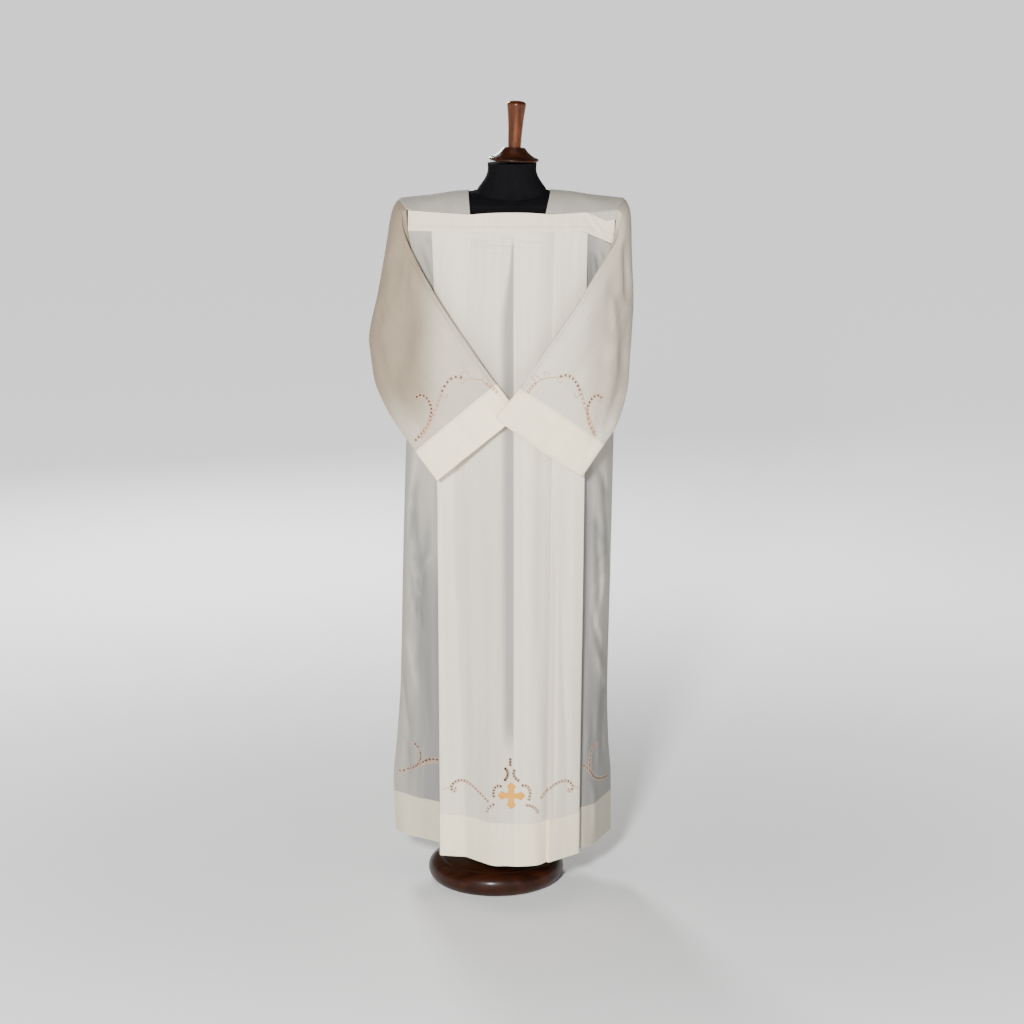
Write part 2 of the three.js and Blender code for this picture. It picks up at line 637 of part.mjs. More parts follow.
function withEyelets(geometry) {
  return fromManifold(eyeletCutters().reduce(
    (solid, cutter) => solid.subtract(toManifold(cutter)),
    toManifold(geometry),
  ));
}

// ---------------------------------------------------------------- cross over the hem
// A flared cross in satin stitch. Its outline is laid on the front panel and moved out.
const CROSS = { x: 17, z: 251, reach: 28, neck: 5, flare: 10, lift: SEAM, rise: 1.2 };

function crossOutline() {
  const { reach, neck, flare } = CROSS;
  const arm = [
    [neck, neck], [neck, reach * 0.5], [flare, reach * 0.72], [neck * 0.9, reach * 0.8],
    [0, reach], [-neck * 0.9, reach * 0.8], [-flare, reach * 0.72], [-neck, reach * 0.5],
  ];
  return [0, 1, 2, 3].flatMap((quarter) => {
    const angle = quarter * Math.PI / 2;
    return arm.map(([u, v]) => [
      u * Math.cos(angle) - v * Math.sin(angle),
      u * Math.sin(angle) + v * Math.cos(angle),
    ]);
  });
}

// the cross is cut, with straight sides, from a layer that follows the panel's own face
function crossGeometry() {
  const { points, normals } = frontGrid;
  const lift = CLOTH / 2 + CROSS.lift + CROSS.rise / 2;
  const layer = wallGeometry(leanedGrid(points), normals, () => CROSS.rise, { lift });
  const outline = crossOutline().map(([u, v]) => new THREE.Vector2(u, v));
  const DEEP = 60;
  const stamp = new THREE.ExtrudeGeometry(new THREE.Shape(outline), { depth: DEEP, bevelEnabled: false });
  stamp.rotateX(Math.PI / 2);
  const { y } = panelFront(CROSS.x, CROSS.z);
  stamp.translate(...leaned([CROSS.x, y + DEEP / 2, CROSS.z]));
  return fromManifold(toManifold(layer).intersect(toManifold(stamp)));
}

// ---------------------------------------------------------------- materials and assembly
const finish = (color, roughness, metalness = 0) => (
  () => new THREE.MeshStandardMaterial({ color, roughness, metalness, side: THREE.DoubleSide })
);
const ivoryCloth = finish(0xece6da, 0.9);
const blackJersey = finish(0x17161a, 0.95);
const walnut = finish(0x4a2416, 0.35);
const amberWood = finish(0x7d3a1c, 0.3);
const goldThread = finish(0xdd9f5c, 0.6);

const alb = new THREE.Group();

function add(name, geometry, material, parent = alb) {
  const mesh = new THREE.Mesh(geometry, material());
  mesh.name = name;
  parent.add(mesh);
  return mesh;
}

function turnedPart(name, outline, segments, material, place, tiltDegrees) {
  const mesh = add(name, turnedGeometry(outline, segments), material);
  mesh.position.set(...place);
  mesh.rotation.y = THREE.MathUtils.degToRad(tiltDegrees);
  return mesh;
}

turnedPart('stand_base', BASE_OUTLINE, 36, walnut, [0, 0, 0], 0);
const poleLean = Math.atan2(centreX(FORM_BOTTOM), FORM_BOTTOM - BASE_HEIGHT);
turnedPart('stand_pole', POLE_OUTLINE, 16, walnut, [0, 0, BASE_HEIGHT + 1.2],
  THREE.MathUtils.radToDeg(poleLean));
add('form_body', formGeometry(), blackJersey);
turnedPart('neck_cap', CAP_OUTLINE, 28, walnut, [39.5, 0, NECK_TOP + 3.2], 3);
turnedPart('neck_finial', FINIAL_OUTLINE, 18, amberWood, [41.1, 0, NECK_TOP + 32.5], 3);

add('yoke_left', yokeGeometry(-1), ivoryCloth);
add('yoke_right', yokeGeometry(1), ivoryCloth);
add('front_band', bandGeometry(FRONT), ivoryCloth);
add('back_band', bandGeometry(BACK), ivoryCloth);
add('front_panel', withEyelets(panelGeometry(frontGrid)), ivoryCloth);
add('back_panel', panelGeometry(panelGrid(BACK)), ivoryCloth);
add('sleeve_left', sleeveGeometry(-1, LEFT_SLEEVE), ivoryCloth);
add('sleeve_right', sleeveGeometry(1, RIGHT_SLEEVE), ivoryCloth);
add('hem_cross', crossGeometry(), goldThread);

export default alb;
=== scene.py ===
# %% [markdown]
# # An alb on a dress form
# An alb is a long white vestment. This one has a square neck with a double band, a pleated
# front and back, wide sleeves folded over each other in front, and openwork scrolls over its
# turned-up hem and cuffs. It hangs on a black limbless form with a turned wooden stand.

# %% Load the frame
import math
import bpy
import bmesh
import numpy as np
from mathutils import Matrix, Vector
from mathutils.geometry import delaunay_2d_cdt


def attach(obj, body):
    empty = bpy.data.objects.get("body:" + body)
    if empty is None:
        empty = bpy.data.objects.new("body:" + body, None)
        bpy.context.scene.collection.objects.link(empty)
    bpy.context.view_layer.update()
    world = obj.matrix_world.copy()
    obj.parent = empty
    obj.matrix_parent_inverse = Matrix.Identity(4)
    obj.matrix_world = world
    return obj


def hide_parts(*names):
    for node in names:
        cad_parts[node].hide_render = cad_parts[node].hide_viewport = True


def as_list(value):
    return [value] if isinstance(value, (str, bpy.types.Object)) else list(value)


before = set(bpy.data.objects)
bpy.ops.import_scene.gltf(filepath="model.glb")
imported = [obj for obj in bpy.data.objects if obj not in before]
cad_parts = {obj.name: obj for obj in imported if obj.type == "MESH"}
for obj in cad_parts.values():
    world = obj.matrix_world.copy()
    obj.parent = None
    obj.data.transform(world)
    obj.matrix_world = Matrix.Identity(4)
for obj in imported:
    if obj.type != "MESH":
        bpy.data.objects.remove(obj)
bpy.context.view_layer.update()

MM = 0.001
print("solids loaded:", len(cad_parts))

# %% [markdown]
# The camera comes first. It stands five metres off, a little higher than the finial, and looks
# slightly down, which flattens the garment and shows the hem as a shallow curve.

# %% Camera
EYE = (0.036, -5.216, 1.980)
PITCH_DOWN = math.radians(12.37)
FOCAL_PIXELS, FRAME_PIXELS, SENSOR = 2449, 1024, 36.0
camera = bpy.data.objects.new("camera", bpy.data.cameras.new("camera"))
camera.location = EYE
camera.rotation_euler = (math.pi / 2 - PITCH_DOWN, 0, 0)
camera.data.sensor_width = SENSOR
camera.data.lens = FOCAL_PIXELS / FRAME_PIXELS * SENSOR
bpy.context.scene.collection.objects.link(camera)
bpy.context.scene.camera = camera
print("lens", round(camera.data.lens, 1), "mm")

# %% [markdown]
# A pale studio: walls that are light near the horizon under a dim ceiling, and one soft box
# close above the camera, as a flash on it would be. White cloth lit from the front shows its
# folds only where it turns away, so the other lamps stay weak and the ceiling stays dim.

# %% Light
world = bpy.data.worlds.new("pale_room")
world.use_nodes = True
bpy.context.scene.world = world
ROOM_WALLS, ROOM_ABOVE = 1.0, 0.05
WALLS_END, CEILING_STARTS = 0.05, 0.3
room = world.node_tree
direction = room.nodes.new("ShaderNodeTexCoord")
split = room.nodes.new("ShaderNodeSeparateXYZ")
room.links.new(direction.outputs["Object"], split.inputs[0])
strength = room.nodes.new("ShaderNodeMapRange")
for key, value in (("From Min", WALLS_END), ("From Max", CEILING_STARTS), ("To Min", ROOM_WALLS),
                   ("To Max", ROOM_ABOVE)):
    strength.inputs[key].default_value = value
room.links.new(split.outputs["Z"], strength.inputs["Value"])
room.links.new(strength.outputs["Result"], room.nodes["Background"].inputs["Strength"])
room.nodes["Background"].inputs["Color"].default_value = (1.0, 1.0, 1.0, 1)
SOFTBOXES = [
    # name, place, aimed at, width, height, watts
    ("front_left_box", (-0.75, -4.9, 2.5), (0, 0, 0.9), 0.5, 0.5, 430),
    ("front_right_box", (2.6, -3.6, 1.6), (0, 0, 0.9), 0.8, 1.4, 16),
    ("top_strip", (0.0, -0.4, 4.2), (0, 0, 1.0), 1.6, 1.0, 6),
    ("back_box", (-1.2, 3.8, 2.6), (0, 0, 1.0), 0.8, 1.2, 150),
]
for name, place, aim, width, height, watts in SOFTBOXES:
    lamp = bpy.data.lights.new(name, "AREA")
    lamp.shape, lamp.size, lamp.size_y, lamp.energy = "RECTANGLE", width, height, watts
    box = bpy.data.objects.new(name, lamp)
    box.location = place
    box.rotation_euler = (Vector(aim) - Vector(place)).to_track_quat("-Z", "Y").to_euler()
    bpy.context.scene.collection.objects.link(box)
print("softboxes:", len(SOFTBOXES))


# %% [markdown]
# Finishes are written as sums. `Wire` holds one socket of a node, and adding or multiplying
# wires adds Math nodes. `Finish` starts a material and makes any other node with one method.

# %% Shader sums
class Wire:
    def __init__(self, finish, socket):
        self.finish, self.socket = finish, socket

    def maths(self, operation, first, second=0.0):
        return self.finish.node("ShaderNodeMath", {"operation": operation}, {0: first, 1: second})

    def __add__(self, other): return self.maths("ADD", self, other)
    def __radd__(self, other): return self.maths("ADD", other, self)
    def __sub__(self, other): return self.maths("SUBTRACT", self, other)
    def __rsub__(self, other): return self.maths("SUBTRACT", other, self)
    def __mul__(self, other): return self.maths("MULTIPLY", self, other)
    def __rmul__(self, other): return self.maths("MULTIPLY", other, self)

    def within(self, low, high):
        return self.finish.node("ShaderNodeMapRange", {"interpolation_type": "SMOOTHSTEP"},
                                {0: self, 1: low, 2: high})


class Finish:
    def __init__(self, name, roughness, **sockets):
        self.material = bpy.data.materials.new(name)
        self.material.use_nodes = True
        self.tree = self.material.node_tree
        self.shader = self.tree.nodes["Principled BSDF"]
        self.shader.inputs["Roughness"].default_value = roughness
        for socket, value in sockets.items():
            self.shader.inputs[socket.replace("_", " ").title().replace("Ior", "IOR")].default_value = value

    def node(self, kind, settings=None, inputs=None, out=0):
        made = self.tree.nodes.new(kind)
        for key, value in (settings or {}).items():
            if key == "stops":
                ramp = made.color_ramp.elements
                while len(ramp) < len(value):
                    ramp.new(0.5)
                for stop, (place, colour) in zip(ramp, value):
                    stop.position, stop.color = place, colour
            else:
                setattr(made, key, value)
        for key, value in (inputs or {}).items():
            self.feed(made.inputs[key], value)
        return Wire(self, made.outputs[out])

    def feed(self, socket, value):
        if isinstance(value, Wire):
            self.tree.links.new(value.socket, socket)
        else:
            socket.default_value = value

    def blend(self, share, first, second):
        return self.node("ShaderNodeMix", {"data_type": "RGBA"}, {0: share, 6: first, 7: second}, out=2)

    def place(self, source="Object", scale=(1, 1, 1)):
        kinds = {"Object": 3, "UV": 2}
        coordinates = self.node("ShaderNodeTexCoord", out=kinds[source])
        return self.node("ShaderNodeMapping", inputs={"Vector": coordinates, "Scale": scale})

    def noise(self, vector, scale, detail=2.0):
        return self.node("ShaderNodeTexNoise", inputs={"Vector": vector, "Scale": scale, "Detail": detail})

    def threads(self, direction, width):
        """Ribs of the given width in metres, across one direction of the flat map."""
        return self.node("ShaderNodeTexWave", {"bands_direction": direction},
                         {"Vector": self.place("UV"), "Scale": math.pi / (10 * width)})

    def mark(self, name):
        return self.node("ShaderNodeAttribute", {"attribute_name": name}, out=2)

    def raise_by(self, height, strength, distance):
        bump = {"Height": height, "Strength": strength, "Distance": distance}
        self.feed(self.shader.inputs["Normal"], self.node("ShaderNodeBump", inputs=bump))

    def colour(self, wire):
        self.feed(self.shader.inputs["Base Color"], wire)

    def rough(self, wire):
        self.feed(self.shader.inputs["Roughness"], wire)


def rgb(r, g, b):
    return (r, g, b, 1.0)


# %% [markdown]
# The cloth is a fine plain weave of cotton and polyester. Its threads run with the cut of each
# piece, so the weave reads the piece's own flat map, in metres. Three marks on the mesh tint it.
# Double cloth looks creamier. Single cloth over the dark hollow looks a little grey, and the same
# mark carries painted shade in creases and where the cloth turns away from the lamp. The shade
# mark is painted warm, dim shade, mostly on the sleeves.

# %% Ivory cloth
WEAVE = 0.0007


def woven_cloth(name, cream, grey, double_cream, warm_shade):
    finish = Finish(name, 0.86, specular_ior_level=0.15, sheen_weight=0.03, sheen_roughness=0.5)
    warp, weft = finish.threads("X", WEAVE), finish.threads("Y", WEAVE)
    slubs = finish.noise(finish.place("UV", (420, 9, 1)), 1.0, 3.0)
    cross_slubs = finish.noise(finish.place("UV", (11, 360, 1)), 1.0, 2.0)
    clouds = finish.noise(finish.place("Object", (1, 1, 0.5)), 7.0, 2.0)
    streaks = finish.noise(finish.place("UV", (55, 0.7, 1)), 1.0, 2.0)
    # painted shade: the see-through mark also darkens creases and turned-away cloth, and the shade mark
    # paints warm shade
    base = finish.blend(finish.mark("thin"), cream, grey)
    base = finish.blend(finish.mark("shade"), base, warm_shade)
    base = finish.blend(finish.mark("double"), base, double_cream)
    tone = (1.0 + (slubs - 0.5) * 0.14 + (cross_slubs - 0.5) * 0.03 + (clouds - 0.5) * 0.05
            + (streaks - 0.5) * 0.17)
    shade = finish.node("ShaderNodeCombineColor", inputs={0: tone, 1: tone, 2: tone})
    finish.colour(finish.node("ShaderNodeMix", {"data_type": "RGBA", "blend_type": "MULTIPLY"},
                              {0: 1.0, 6: base, 7: shade}, out=2))
    finish.raise_by(warp * 0.4 + weft * 0.4 + slubs * 0.5 + cross_slubs * 0.3, 0.35, 0.00022)
    return finish.material


IVORY = woven_cloth("ivory_cloth", rgb(0.74, 0.665, 0.54), rgb(0.235, 0.230, 0.216),
                    rgb(0.96, 0.83, 0.59), rgb(0.27, 0.215, 0.150))


# %% [markdown]
# Embroidery is satin stitch: close parallel threads that catch the light in fine ribs across
# the line of the stitching. The ribs are raised, and also painted lighter and darker as a painted
# highlight. The scrolls are a peach tan, and the cross is a warm gold. The rims of larger eyelets
# are painted dark, as painted shade of the hole, and the sewing thread is painted darker than the
# cloth, as painted shade along its seam.

# %% Threads
def satin_stitch(name, light, dark, rib):
    finish = Finish(name, 0.5, sheen_weight=0.04, specular_ior_level=0.25)
    ribs = finish.threads("X", rib)
    patch = finish.noise(finish.place("Object"), 160.0, 2.0)
    # painted highlight: each rib is lighter and darker in colour as well as raised
    finish.colour(finish.blend(ribs * 0.55 + patch * 0.4, dark, light))
    finish.raise_by(ribs, 0.7, 0.0002)
    return finish.material


TAN_THREAD = satin_stitch("tan_thread", rgb(0.80, 0.47, 0.28), rgb(0.50, 0.25, 0.13), 0.0006)
GOLD_THREAD = satin_stitch("gold_thread", rgb(0.88, 0.42, 0.045), rgb(0.62, 0.25, 0.02), 0.0009)
# painted shade: dark rims stand in for the shadow seen through the larger eyelets
SHADED_RIM_THREAD = satin_stitch("shaded_rim_thread", rgb(0.24, 0.13, 0.07), rgb(0.10, 0.05, 0.03), 0.0006)
# painted shade: sewing thread darker than the cloth, standing in for the shade along a stitched seam
SHADED_SEWING_THREAD = satin_stitch("shaded_sewing_thread", rgb(0.62, 0.55, 0.44), rgb(0.44, 0.38, 0.30), 0.0015)


# %% [markdown]
# The form is covered in black jersey, a fine knit with no shine, and the stand is turned wood
# under a gloss lacquer: dark red-brown for the base and cap, and amber for the finial.

# %% Jersey and lacquered wood
def black_jersey():
    finish = Finish("black_jersey", 0.95, specular_ior_level=0.06)
    ribs, rows = finish.threads("X", 0.0014), finish.threads("Y", 0.0011)
    lint = finish.noise(finish.place("Object"), 60.0, 3.0)
    # painted shade: the knit's ribs are slightly lighter and darker in colour; the lint varies the tone at
    # random
    finish.colour(finish.blend(ribs * 0.4 + lint * 0.6, rgb(0.002, 0.002, 0.0025),
                               rgb(0.007, 0.0066, 0.0078)))
    finish.raise_by(ribs * 0.5 + rows * 0.5, 0.5, 0.0003)
    return finish.material


def lacquered_wood(name, dark, mid, light, scale=(1, 1, 1)):
    finish = Finish(name, 0.34, coat_weight=0.16, coat_roughness=0.17, specular_ior_level=0.15)
    rings = finish.noise(finish.place("Object", scale), 16.0, 4.0)
    pores = finish.noise(finish.place("Object", tuple(6 * s for s in scale)), 60.0, 2.0)
    grain = rings * 0.75 + pores * 0.35
    finish.colour(finish.node("ShaderNodeValToRGB", {"stops": [(0.36, dark), (0.54, mid), (0.74, light)]},
                              {0: grain}))
    finish.rough(0.28 + grain * 0.2)
    finish.raise_by(pores, 0.12, 0.0003)
    return finish.material


JERSEY = black_jersey()
WALNUT = lacquered_wood("walnut", rgb(0.010, 0.0028, 0.0012), rgb(0.024, 0.0060, 0.0021),
                        rgb(0.044, 0.0115, 0.0037), (1, 3.4, 2.2))
AMBER_WOOD = lacquered_wood("amber_wood", rgb(0.023, 0.0048, 0.0012), rgb(0.066, 0.0155, 0.0031),
                            rgb(0.135, 0.039, 0.008), (5, 5, 0.8))
print("finishes:", len(bpy.data.materials))

# %% [markdown]
# Sizes of the garment, in millimetres, as its solids have them. The form leans slightly to one
# side, so every x here is measured from a leaning centre line.

# %% Sizes
CLOTH, DOUBLE_CLOTH, CUFF_CLOTH, SEAM = 1.4, 2.6, 2.2, 0.3
SHOULDER_HALF, NECK_HALF, YOKE_CORNER, NECK_EASE = 240, 82, 220, 5
BAND_REACH, BACK_REACH, BAND_DRAW, BAND_LEAN = 100, 96, 0.42, 5
RIDGE_AT_NECK, RIDGE_AT_SHOULDER, ROLL_START, YOKE_DROP = 1535, 1516, 235, 43
BAND_BOTTOM, ARMHOLE_BOTTOM, ARMHOLE_HALF, ARMHOLE_SQUARENESS = 1455, 1300, 64, 2.4
HEM_TOP, CUFF_START = 190, 0.885
BAND_STEP, FOLD_DROP = 21.7, 29


def centre_x(z):
    return 14 + 0.014 * z


def mix(a, b, t):
    return a + (b - a) * t


def smooth(t):
    t = np.clip(t, 0, 1)
    return t * t * (3 - 2 * t)


def hermite(a, b, pull_a, pull_b, t):
    """A cubic from a to b that leaves and arrives with the given pulls."""
    return ((2 * t**3 - 3 * t**2 + 1) * a + (t**3 - 2 * t**2 + t) * pull_a
            + (3 * t**2 - 2 * t**3) * b + (t**3 - t**2) * pull_b)


def level_value(levels, values, z):
    """A smooth value at z from rows sorted by falling z, which never overshoots."""
    levels, values = np.asarray(levels, float), np.asarray(values, float)
    slopes = np.diff(values) / np.diff(levels)
    tangent = np.concatenate([slopes[:1], np.zeros(len(levels) - 2), slopes[-1:]])
    product = slopes[:-1] * slopes[1:]
    same = product > 0
    tangent[1:-1][same] = 2 * product[same] / (slopes[:-1] + slopes[1:])[same]
    z = np.clip(z, levels[-1], levels[0])
    k = np.clip(np.searchsorted(-levels, -z, side="right") - 1, 0, len(levels) - 2)
    h = levels[k + 1] - levels[k]
    t = (z - levels[k]) / h
    return hermite(values[k], values[k + 1], h * tangent[k], h * tangent[k + 1], t)


def walked(line):
    """How far along a line each of its points lies."""
    return np.concatenate([[0], np.cumsum(np.linalg.norm(np.diff(line, axis=0), axis=1))])


def along(line, reached, want):
    """The values of a line's points at the wanted distances."""
    return np.stack([np.interp(want, reached, values) for values in line.T], 1)


def unit(vectors):
    return vectors / np.maximum(np.linalg.norm(vectors, axis=-1, keepdims=True), 1e-9)


def bent(value, squareness):
    """A sine or cosine pushed outwards, for rings between an ellipse and a box."""
    return np.sign(value) * np.abs(value) ** (2 / squareness)


def shoulder_height(x, y):
    out = np.abs(x)
    fall = (RIDGE_AT_NECK - RIDGE_AT_SHOULDER) / (ROLL_START - NECK_HALF)
    roll = 0.1 * np.maximum(0, out - ROLL_START) ** 2
    return RIDGE_AT_NECK - (np.maximum(out, 60) - NECK_HALF) * fall - roll - YOKE_DROP * (y / 90) ** 2


def band_y(x, reach):
    return reach * (1 - BAND_DRAW * (np.abs(x) / 233) ** 1.4)


def band_top(x, reach):
    out = np.maximum(np.abs(x), NECK_HALF)
    across_neck = np.maximum(0, 1 - (x / NECK_HALF) ** 2)
    return shoulder_height(out, band_y(out, reach)) - SEAM + NECK_EASE * across_neck


def front_bottom(x):
    return BAND_BOTTOM - FOLD_DROP * np.clip((x - 7 * BAND_STEP) / (3 * BAND_STEP), 0, 1)


def back_bottom(x):
    return BAND_BOTTOM - 3 + 0 * x


# the side seams: heights, then distance from the centre line on each side, and y
SIDE_LEVELS = [1455, 1380, 1300, 989, 728, 455, 316, 223, 95]
SIDE_LEFT = [217, 206, 208, 221, 227, 231, 239, 246, 240]
SIDE_RIGHT = [217, 206, 208, 228, 228, 227, 232, 240, 242]
SIDE_Y = [0, 0, 0, 14, 20, 27, 31, 34, 40]


def side_x(side, z):
    return side * level_value(SIDE_LEVELS, SIDE_LEFT if side < 0 else SIDE_RIGHT, z)


def armhole_half(z):
    down = np.clip((BAND_BOTTOM - z) / (BAND_BOTTOM - ARMHOLE_BOTTOM), 0, 1)
    return ARMHOLE_HALF * (1 - down**ARMHOLE_SQUARENESS) ** (1 / ARMHOLE_SQUARENESS)


def side_y(face, z):
    below = level_value(SIDE_LEVELS, SIDE_Y, z) + face * SEAM / 2
    return np.where(z > ARMHOLE_BOTTOM, face * (armhole_half(z) + SEAM / 2), below)


def yoke_outer_x(t):
    return YOKE_CORNER + (SHOULDER_HALF - YOKE_CORNER) * (1 - t * t)


print("shoulder ridge at neck", round(float(shoulder_height(NECK_HALF, 0))), "mm")

# %% [markdown]
# Every cloth piece is a grid of points with a thickness on both sides, closed at its rims. The
# same maker punches eyelets: it takes out the grid cells that a round hole touches and fills
# the room between cells and hole with small triangles, so that the holes are really open.

# %% Cloth walls
HOLE_SIDES = 10


def punched(rows, columns, holes):
    """Grid cells without the holes. Returns extra points as (row, column) pairs, and faces."""
    taken = set()
    for i, j, ri, rj in holes:
        for a in range(int(math.floor(i - ri - 0.15)), int(math.floor(i + ri + 0.15)) + 1):
            for b in range(int(math.floor(j - rj - 0.15)), int(math.floor(j + rj + 0.15)) + 1):
                if 0 <= a < rows - 1 and 0 <= b < columns - 1:
                    taken.add((a, b))
    if not taken:
        return [], [], taken
    corners, points, edges = {}, [], []

    def corner(a, b):
        if (a, b) not in corners:
            corners[(a, b)] = len(points)
            points.append(Vector((float(b), float(a))))
        return corners[(a, b)]

    for a, b in taken:
        low_left, low_right, high_left, high_right = (a, b), (a, b + 1), (a + 1, b), (a + 1, b + 1)
        for p, q, beyond in ((low_left, low_right, (a - 1, b)), (high_left, high_right, (a + 1, b)),
                             (low_left, high_left, (a, b - 1)), (low_right, high_right, (a, b + 1))):
            if beyond not in taken:
                edges.append((corner(*p), corner(*q)))
            else:
                corner(*p), corner(*q)
    known = len(points)
    for i, j, ri, rj in holes:
        first = len(points)
        for k in range(HOLE_SIDES):
            angle = 2 * math.pi * k / HOLE_SIDES
            points.append(Vector((j + rj * math.cos(angle), i + ri * math.sin(angle))))
            edges.append((first + k, first + (k + 1) % HOLE_SIDES))
    out, _, triangles, origin, _, _ = delaunay_2d_cdt(points, edges, [], 0, 1e-6)
    names = {index: name for name, index in corners.items()}
    extra, target = [], []
    for k, where in enumerate(out):
        source = [s for s in origin[k] if s < known]
        if source:
            a, b = names[source[0]]
            target.append(a * columns + b)
        else:
            target.append(rows * columns + len(extra))
            extra.append((where[1], where[0]))
    faces = []
    for triangle in triangles:
        x = sum(out[k][0] for k in triangle) / 3
        y = sum(out[k][1] for k in triangle) / 3
        if (int(math.floor(y)), int(math.floor(x))) not in taken:
            continue
        if any(((x - j) / rj) ** 2 + ((y - i) / ri) ** 2 < 0.9 for i, j, ri, rj in holes):
            continue
        faces.append([target[k] for k in triangle])
    return extra, faces, taken


def between(grid, i, j):
    """The grid's value at a fractional row and column."""
    a, b = min(int(i), grid.shape[0] - 2), min(int(j), grid.shape[1] - 2)
    s, t = i - a, j - b
    return ((grid[a, b] * (1 - s) + grid[a + 1, b] * s) * (1 - t)
            + (grid[a, b + 1] * (1 - s) + grid[a + 1, b + 1] * s) * t)


def grid_normals(points, around=False, outward=None):
    if around:
        sideways = np.roll(points, -1, 1) - np.roll(points, 1, 1)
    else:
        sideways = np.gradient(points, axis=1)
    normals = unit(np.cross(sideways, np.gradient(points, axis=0)))
    if outward is not None and (normals * outward).sum() < 0:
        normals = -normals
    return normals


def leaned(points):
    moved = points.copy()
    moved[..., 0] += centre_x(points[..., 2])
    return moved


def flat_map(points, around=False):
    """Width and length in metres along the grid's lines, for the weave."""
    wide = points if not around else np.concatenate([points, points[:, :1]], 1)
    across = np.linalg.norm(np.diff(wide, axis=1), axis=2)
    down = np.linalg.norm(np.diff(points, axis=0), axis=2)
    u = np.concatenate([np.zeros((points.shape[0], 1)), np.cumsum(across, 1)], 1)
    v = np.concatenate([np.zeros((1, points.shape[1])), np.cumsum(down, 0)], 0)
    steady = np.broadcast_to(u.mean(0), u.shape)
    if around:
        v = np.concatenate([v, v[:, :1]], 1)
    return np.stack([steady, np.broadcast_to(v.mean(1, keepdims=True), v.shape)], 2) * MM


def open_edges(faces):
    """The edges that only one face has, in that face's own direction."""
    found = {}
    for face in faces:
        for p, q in zip(face, [*face[1:], face[0]]):
            if (q, p) in found:
                del found[(q, p)]
            else:
                found[(p, q)] = True
    return list(found)


def face_outward(mesh):
    held = bmesh.new()
    held.from_mesh(mesh)
    bmesh.ops.recalc_face_normals(held, faces=held.faces)
    held.to_mesh(mesh)
    held.free()


def add_object(name, mesh, material):
    """Puts a mesh into the scene as a smooth piece."""
    mesh.materials.append(material)
    for polygon in mesh.polygons:
        polygon.use_smooth = True
    made = bpy.data.objects.new(name, mesh)
    bpy.context.scene.collection.objects.link(made)
    return made


def cloth_object(name, points, normals, thickness, marks, around=False, holes=()):
    """A closed cloth wall. All sizes are in millimetres; the object is in metres."""
    rows, columns = points.shape[:2]
    extra, patches, taken = punched(rows, columns, holes)

    def listed(grid):
        """The grid's values in one list, then those of the extra points."""
        beyond = [between(grid, i, j)[None] for i, j in extra]
        return np.concatenate([grid.reshape(-1, *grid.shape[2:]), *beyond])

    spans = columns if around else columns - 1
    quads = [[i * columns + j, (i + 1) * columns + j, (i + 1) * columns + (j + 1) % columns,
              i * columns + (j + 1) % columns]
             for i in range(rows - 1) for j in range(spans) if (i, j) not in taken]
    mid, up, thick = listed(points), listed(normals), listed(thickness)
    a, b, c = (mid[quads[len(quads) // 2][k]] for k in range(3))
    if np.dot(np.cross(b - a, c - a), up[quads[len(quads) // 2][0]]) < 0:
        quads = [q[::-1] for q in quads]
    ways = []
    for patch in patches:
        a, b, c = (mid[k] for k in patch)
        ways.append(patch if np.dot(np.cross(b - a, c - a), up[patch].mean(0)) > 0 else patch[::-1])
    sheet_faces = quads + ways
    count = len(mid)
    faces = sheet_faces + [[k + count for k in reversed(face)] for face in sheet_faces]
    faces += [[q, p, p + count, q + count] for p, q in open_edges(sheet_faces)]
    half = up * thick[:, None] / 2
    places = np.concatenate([mid + half, mid - half])
    mesh = bpy.data.meshes.new(name)
    mesh.from_pydata((places * MM).tolist(), [], faces)
    uv = flat_map(points, around)
    grid_u = np.concatenate([uv[:, :columns].reshape(-1, 2)] + [between(uv, i, j)[None] for i, j in extra])
    loops = np.empty(len(mesh.loops), dtype=np.int64)
    mesh.loops.foreach_get("vertex_index", loops)
    values = grid_u[loops % count].copy()
    if around:
        starts = np.empty(len(mesh.polygons), dtype=np.int64)
        sizes = np.empty(len(mesh.polygons), dtype=np.int64)
        mesh.polygons.foreach_get("loop_start", starts)
        mesh.polygons.foreach_get("loop_total", sizes)
        owner = np.repeat(np.arange(len(starts)), sizes)
        widest = np.zeros(len(starts))
        np.maximum.at(widest, owner, values[:, 0])
        closes = (values[:, 0] < 1e-9) & (widest[owner] > uv[0, columns, 0] * 0.5)
        values[closes, 0] = uv[0, columns, 0]
    layer = mesh.uv_layers.new(name="cut")
    layer.data.foreach_set("uv", values.astype(np.float32).ravel())
    for mark, grid in marks.items():
        data = mesh.attributes.new(mark, "FLOAT", "POINT")
        data.data.foreach_set("value", np.tile(listed(grid), 2).astype(np.float32))
    mesh.validate()
    held = bmesh.new()
    held.from_mesh(mesh)
    bmesh.ops.delete(held, geom=[v for v in held.verts if not v.link_faces], context="VERTS")
    held.to_mesh(mesh)
    held.free()
    made = add_object(name, mesh, IVORY)
    sharp_rims(made)
    print(name, len(mesh.polygons), "faces")
    return made


def sharp_rims(made, degrees=50):
    bpy.ops.object.select_all(action="DESELECT")
    made.select_set(True)
    bpy.context.view_layer.objects.active = made
    bpy.ops.object.shade_smooth_by_angle(angle=math.radians(degrees))
    made.select_set(False)


# %% [markdown]
# The front and back are each one width of cloth, pleated into the neck band. A table gives
# every fold line from the band to the hem: where it starts and how far it lies behind the
# band, then its place at the chest, waist and hem, and how soft the fold is. Knife edges that
# were pressed stay sharp; the creases between them are rounded.

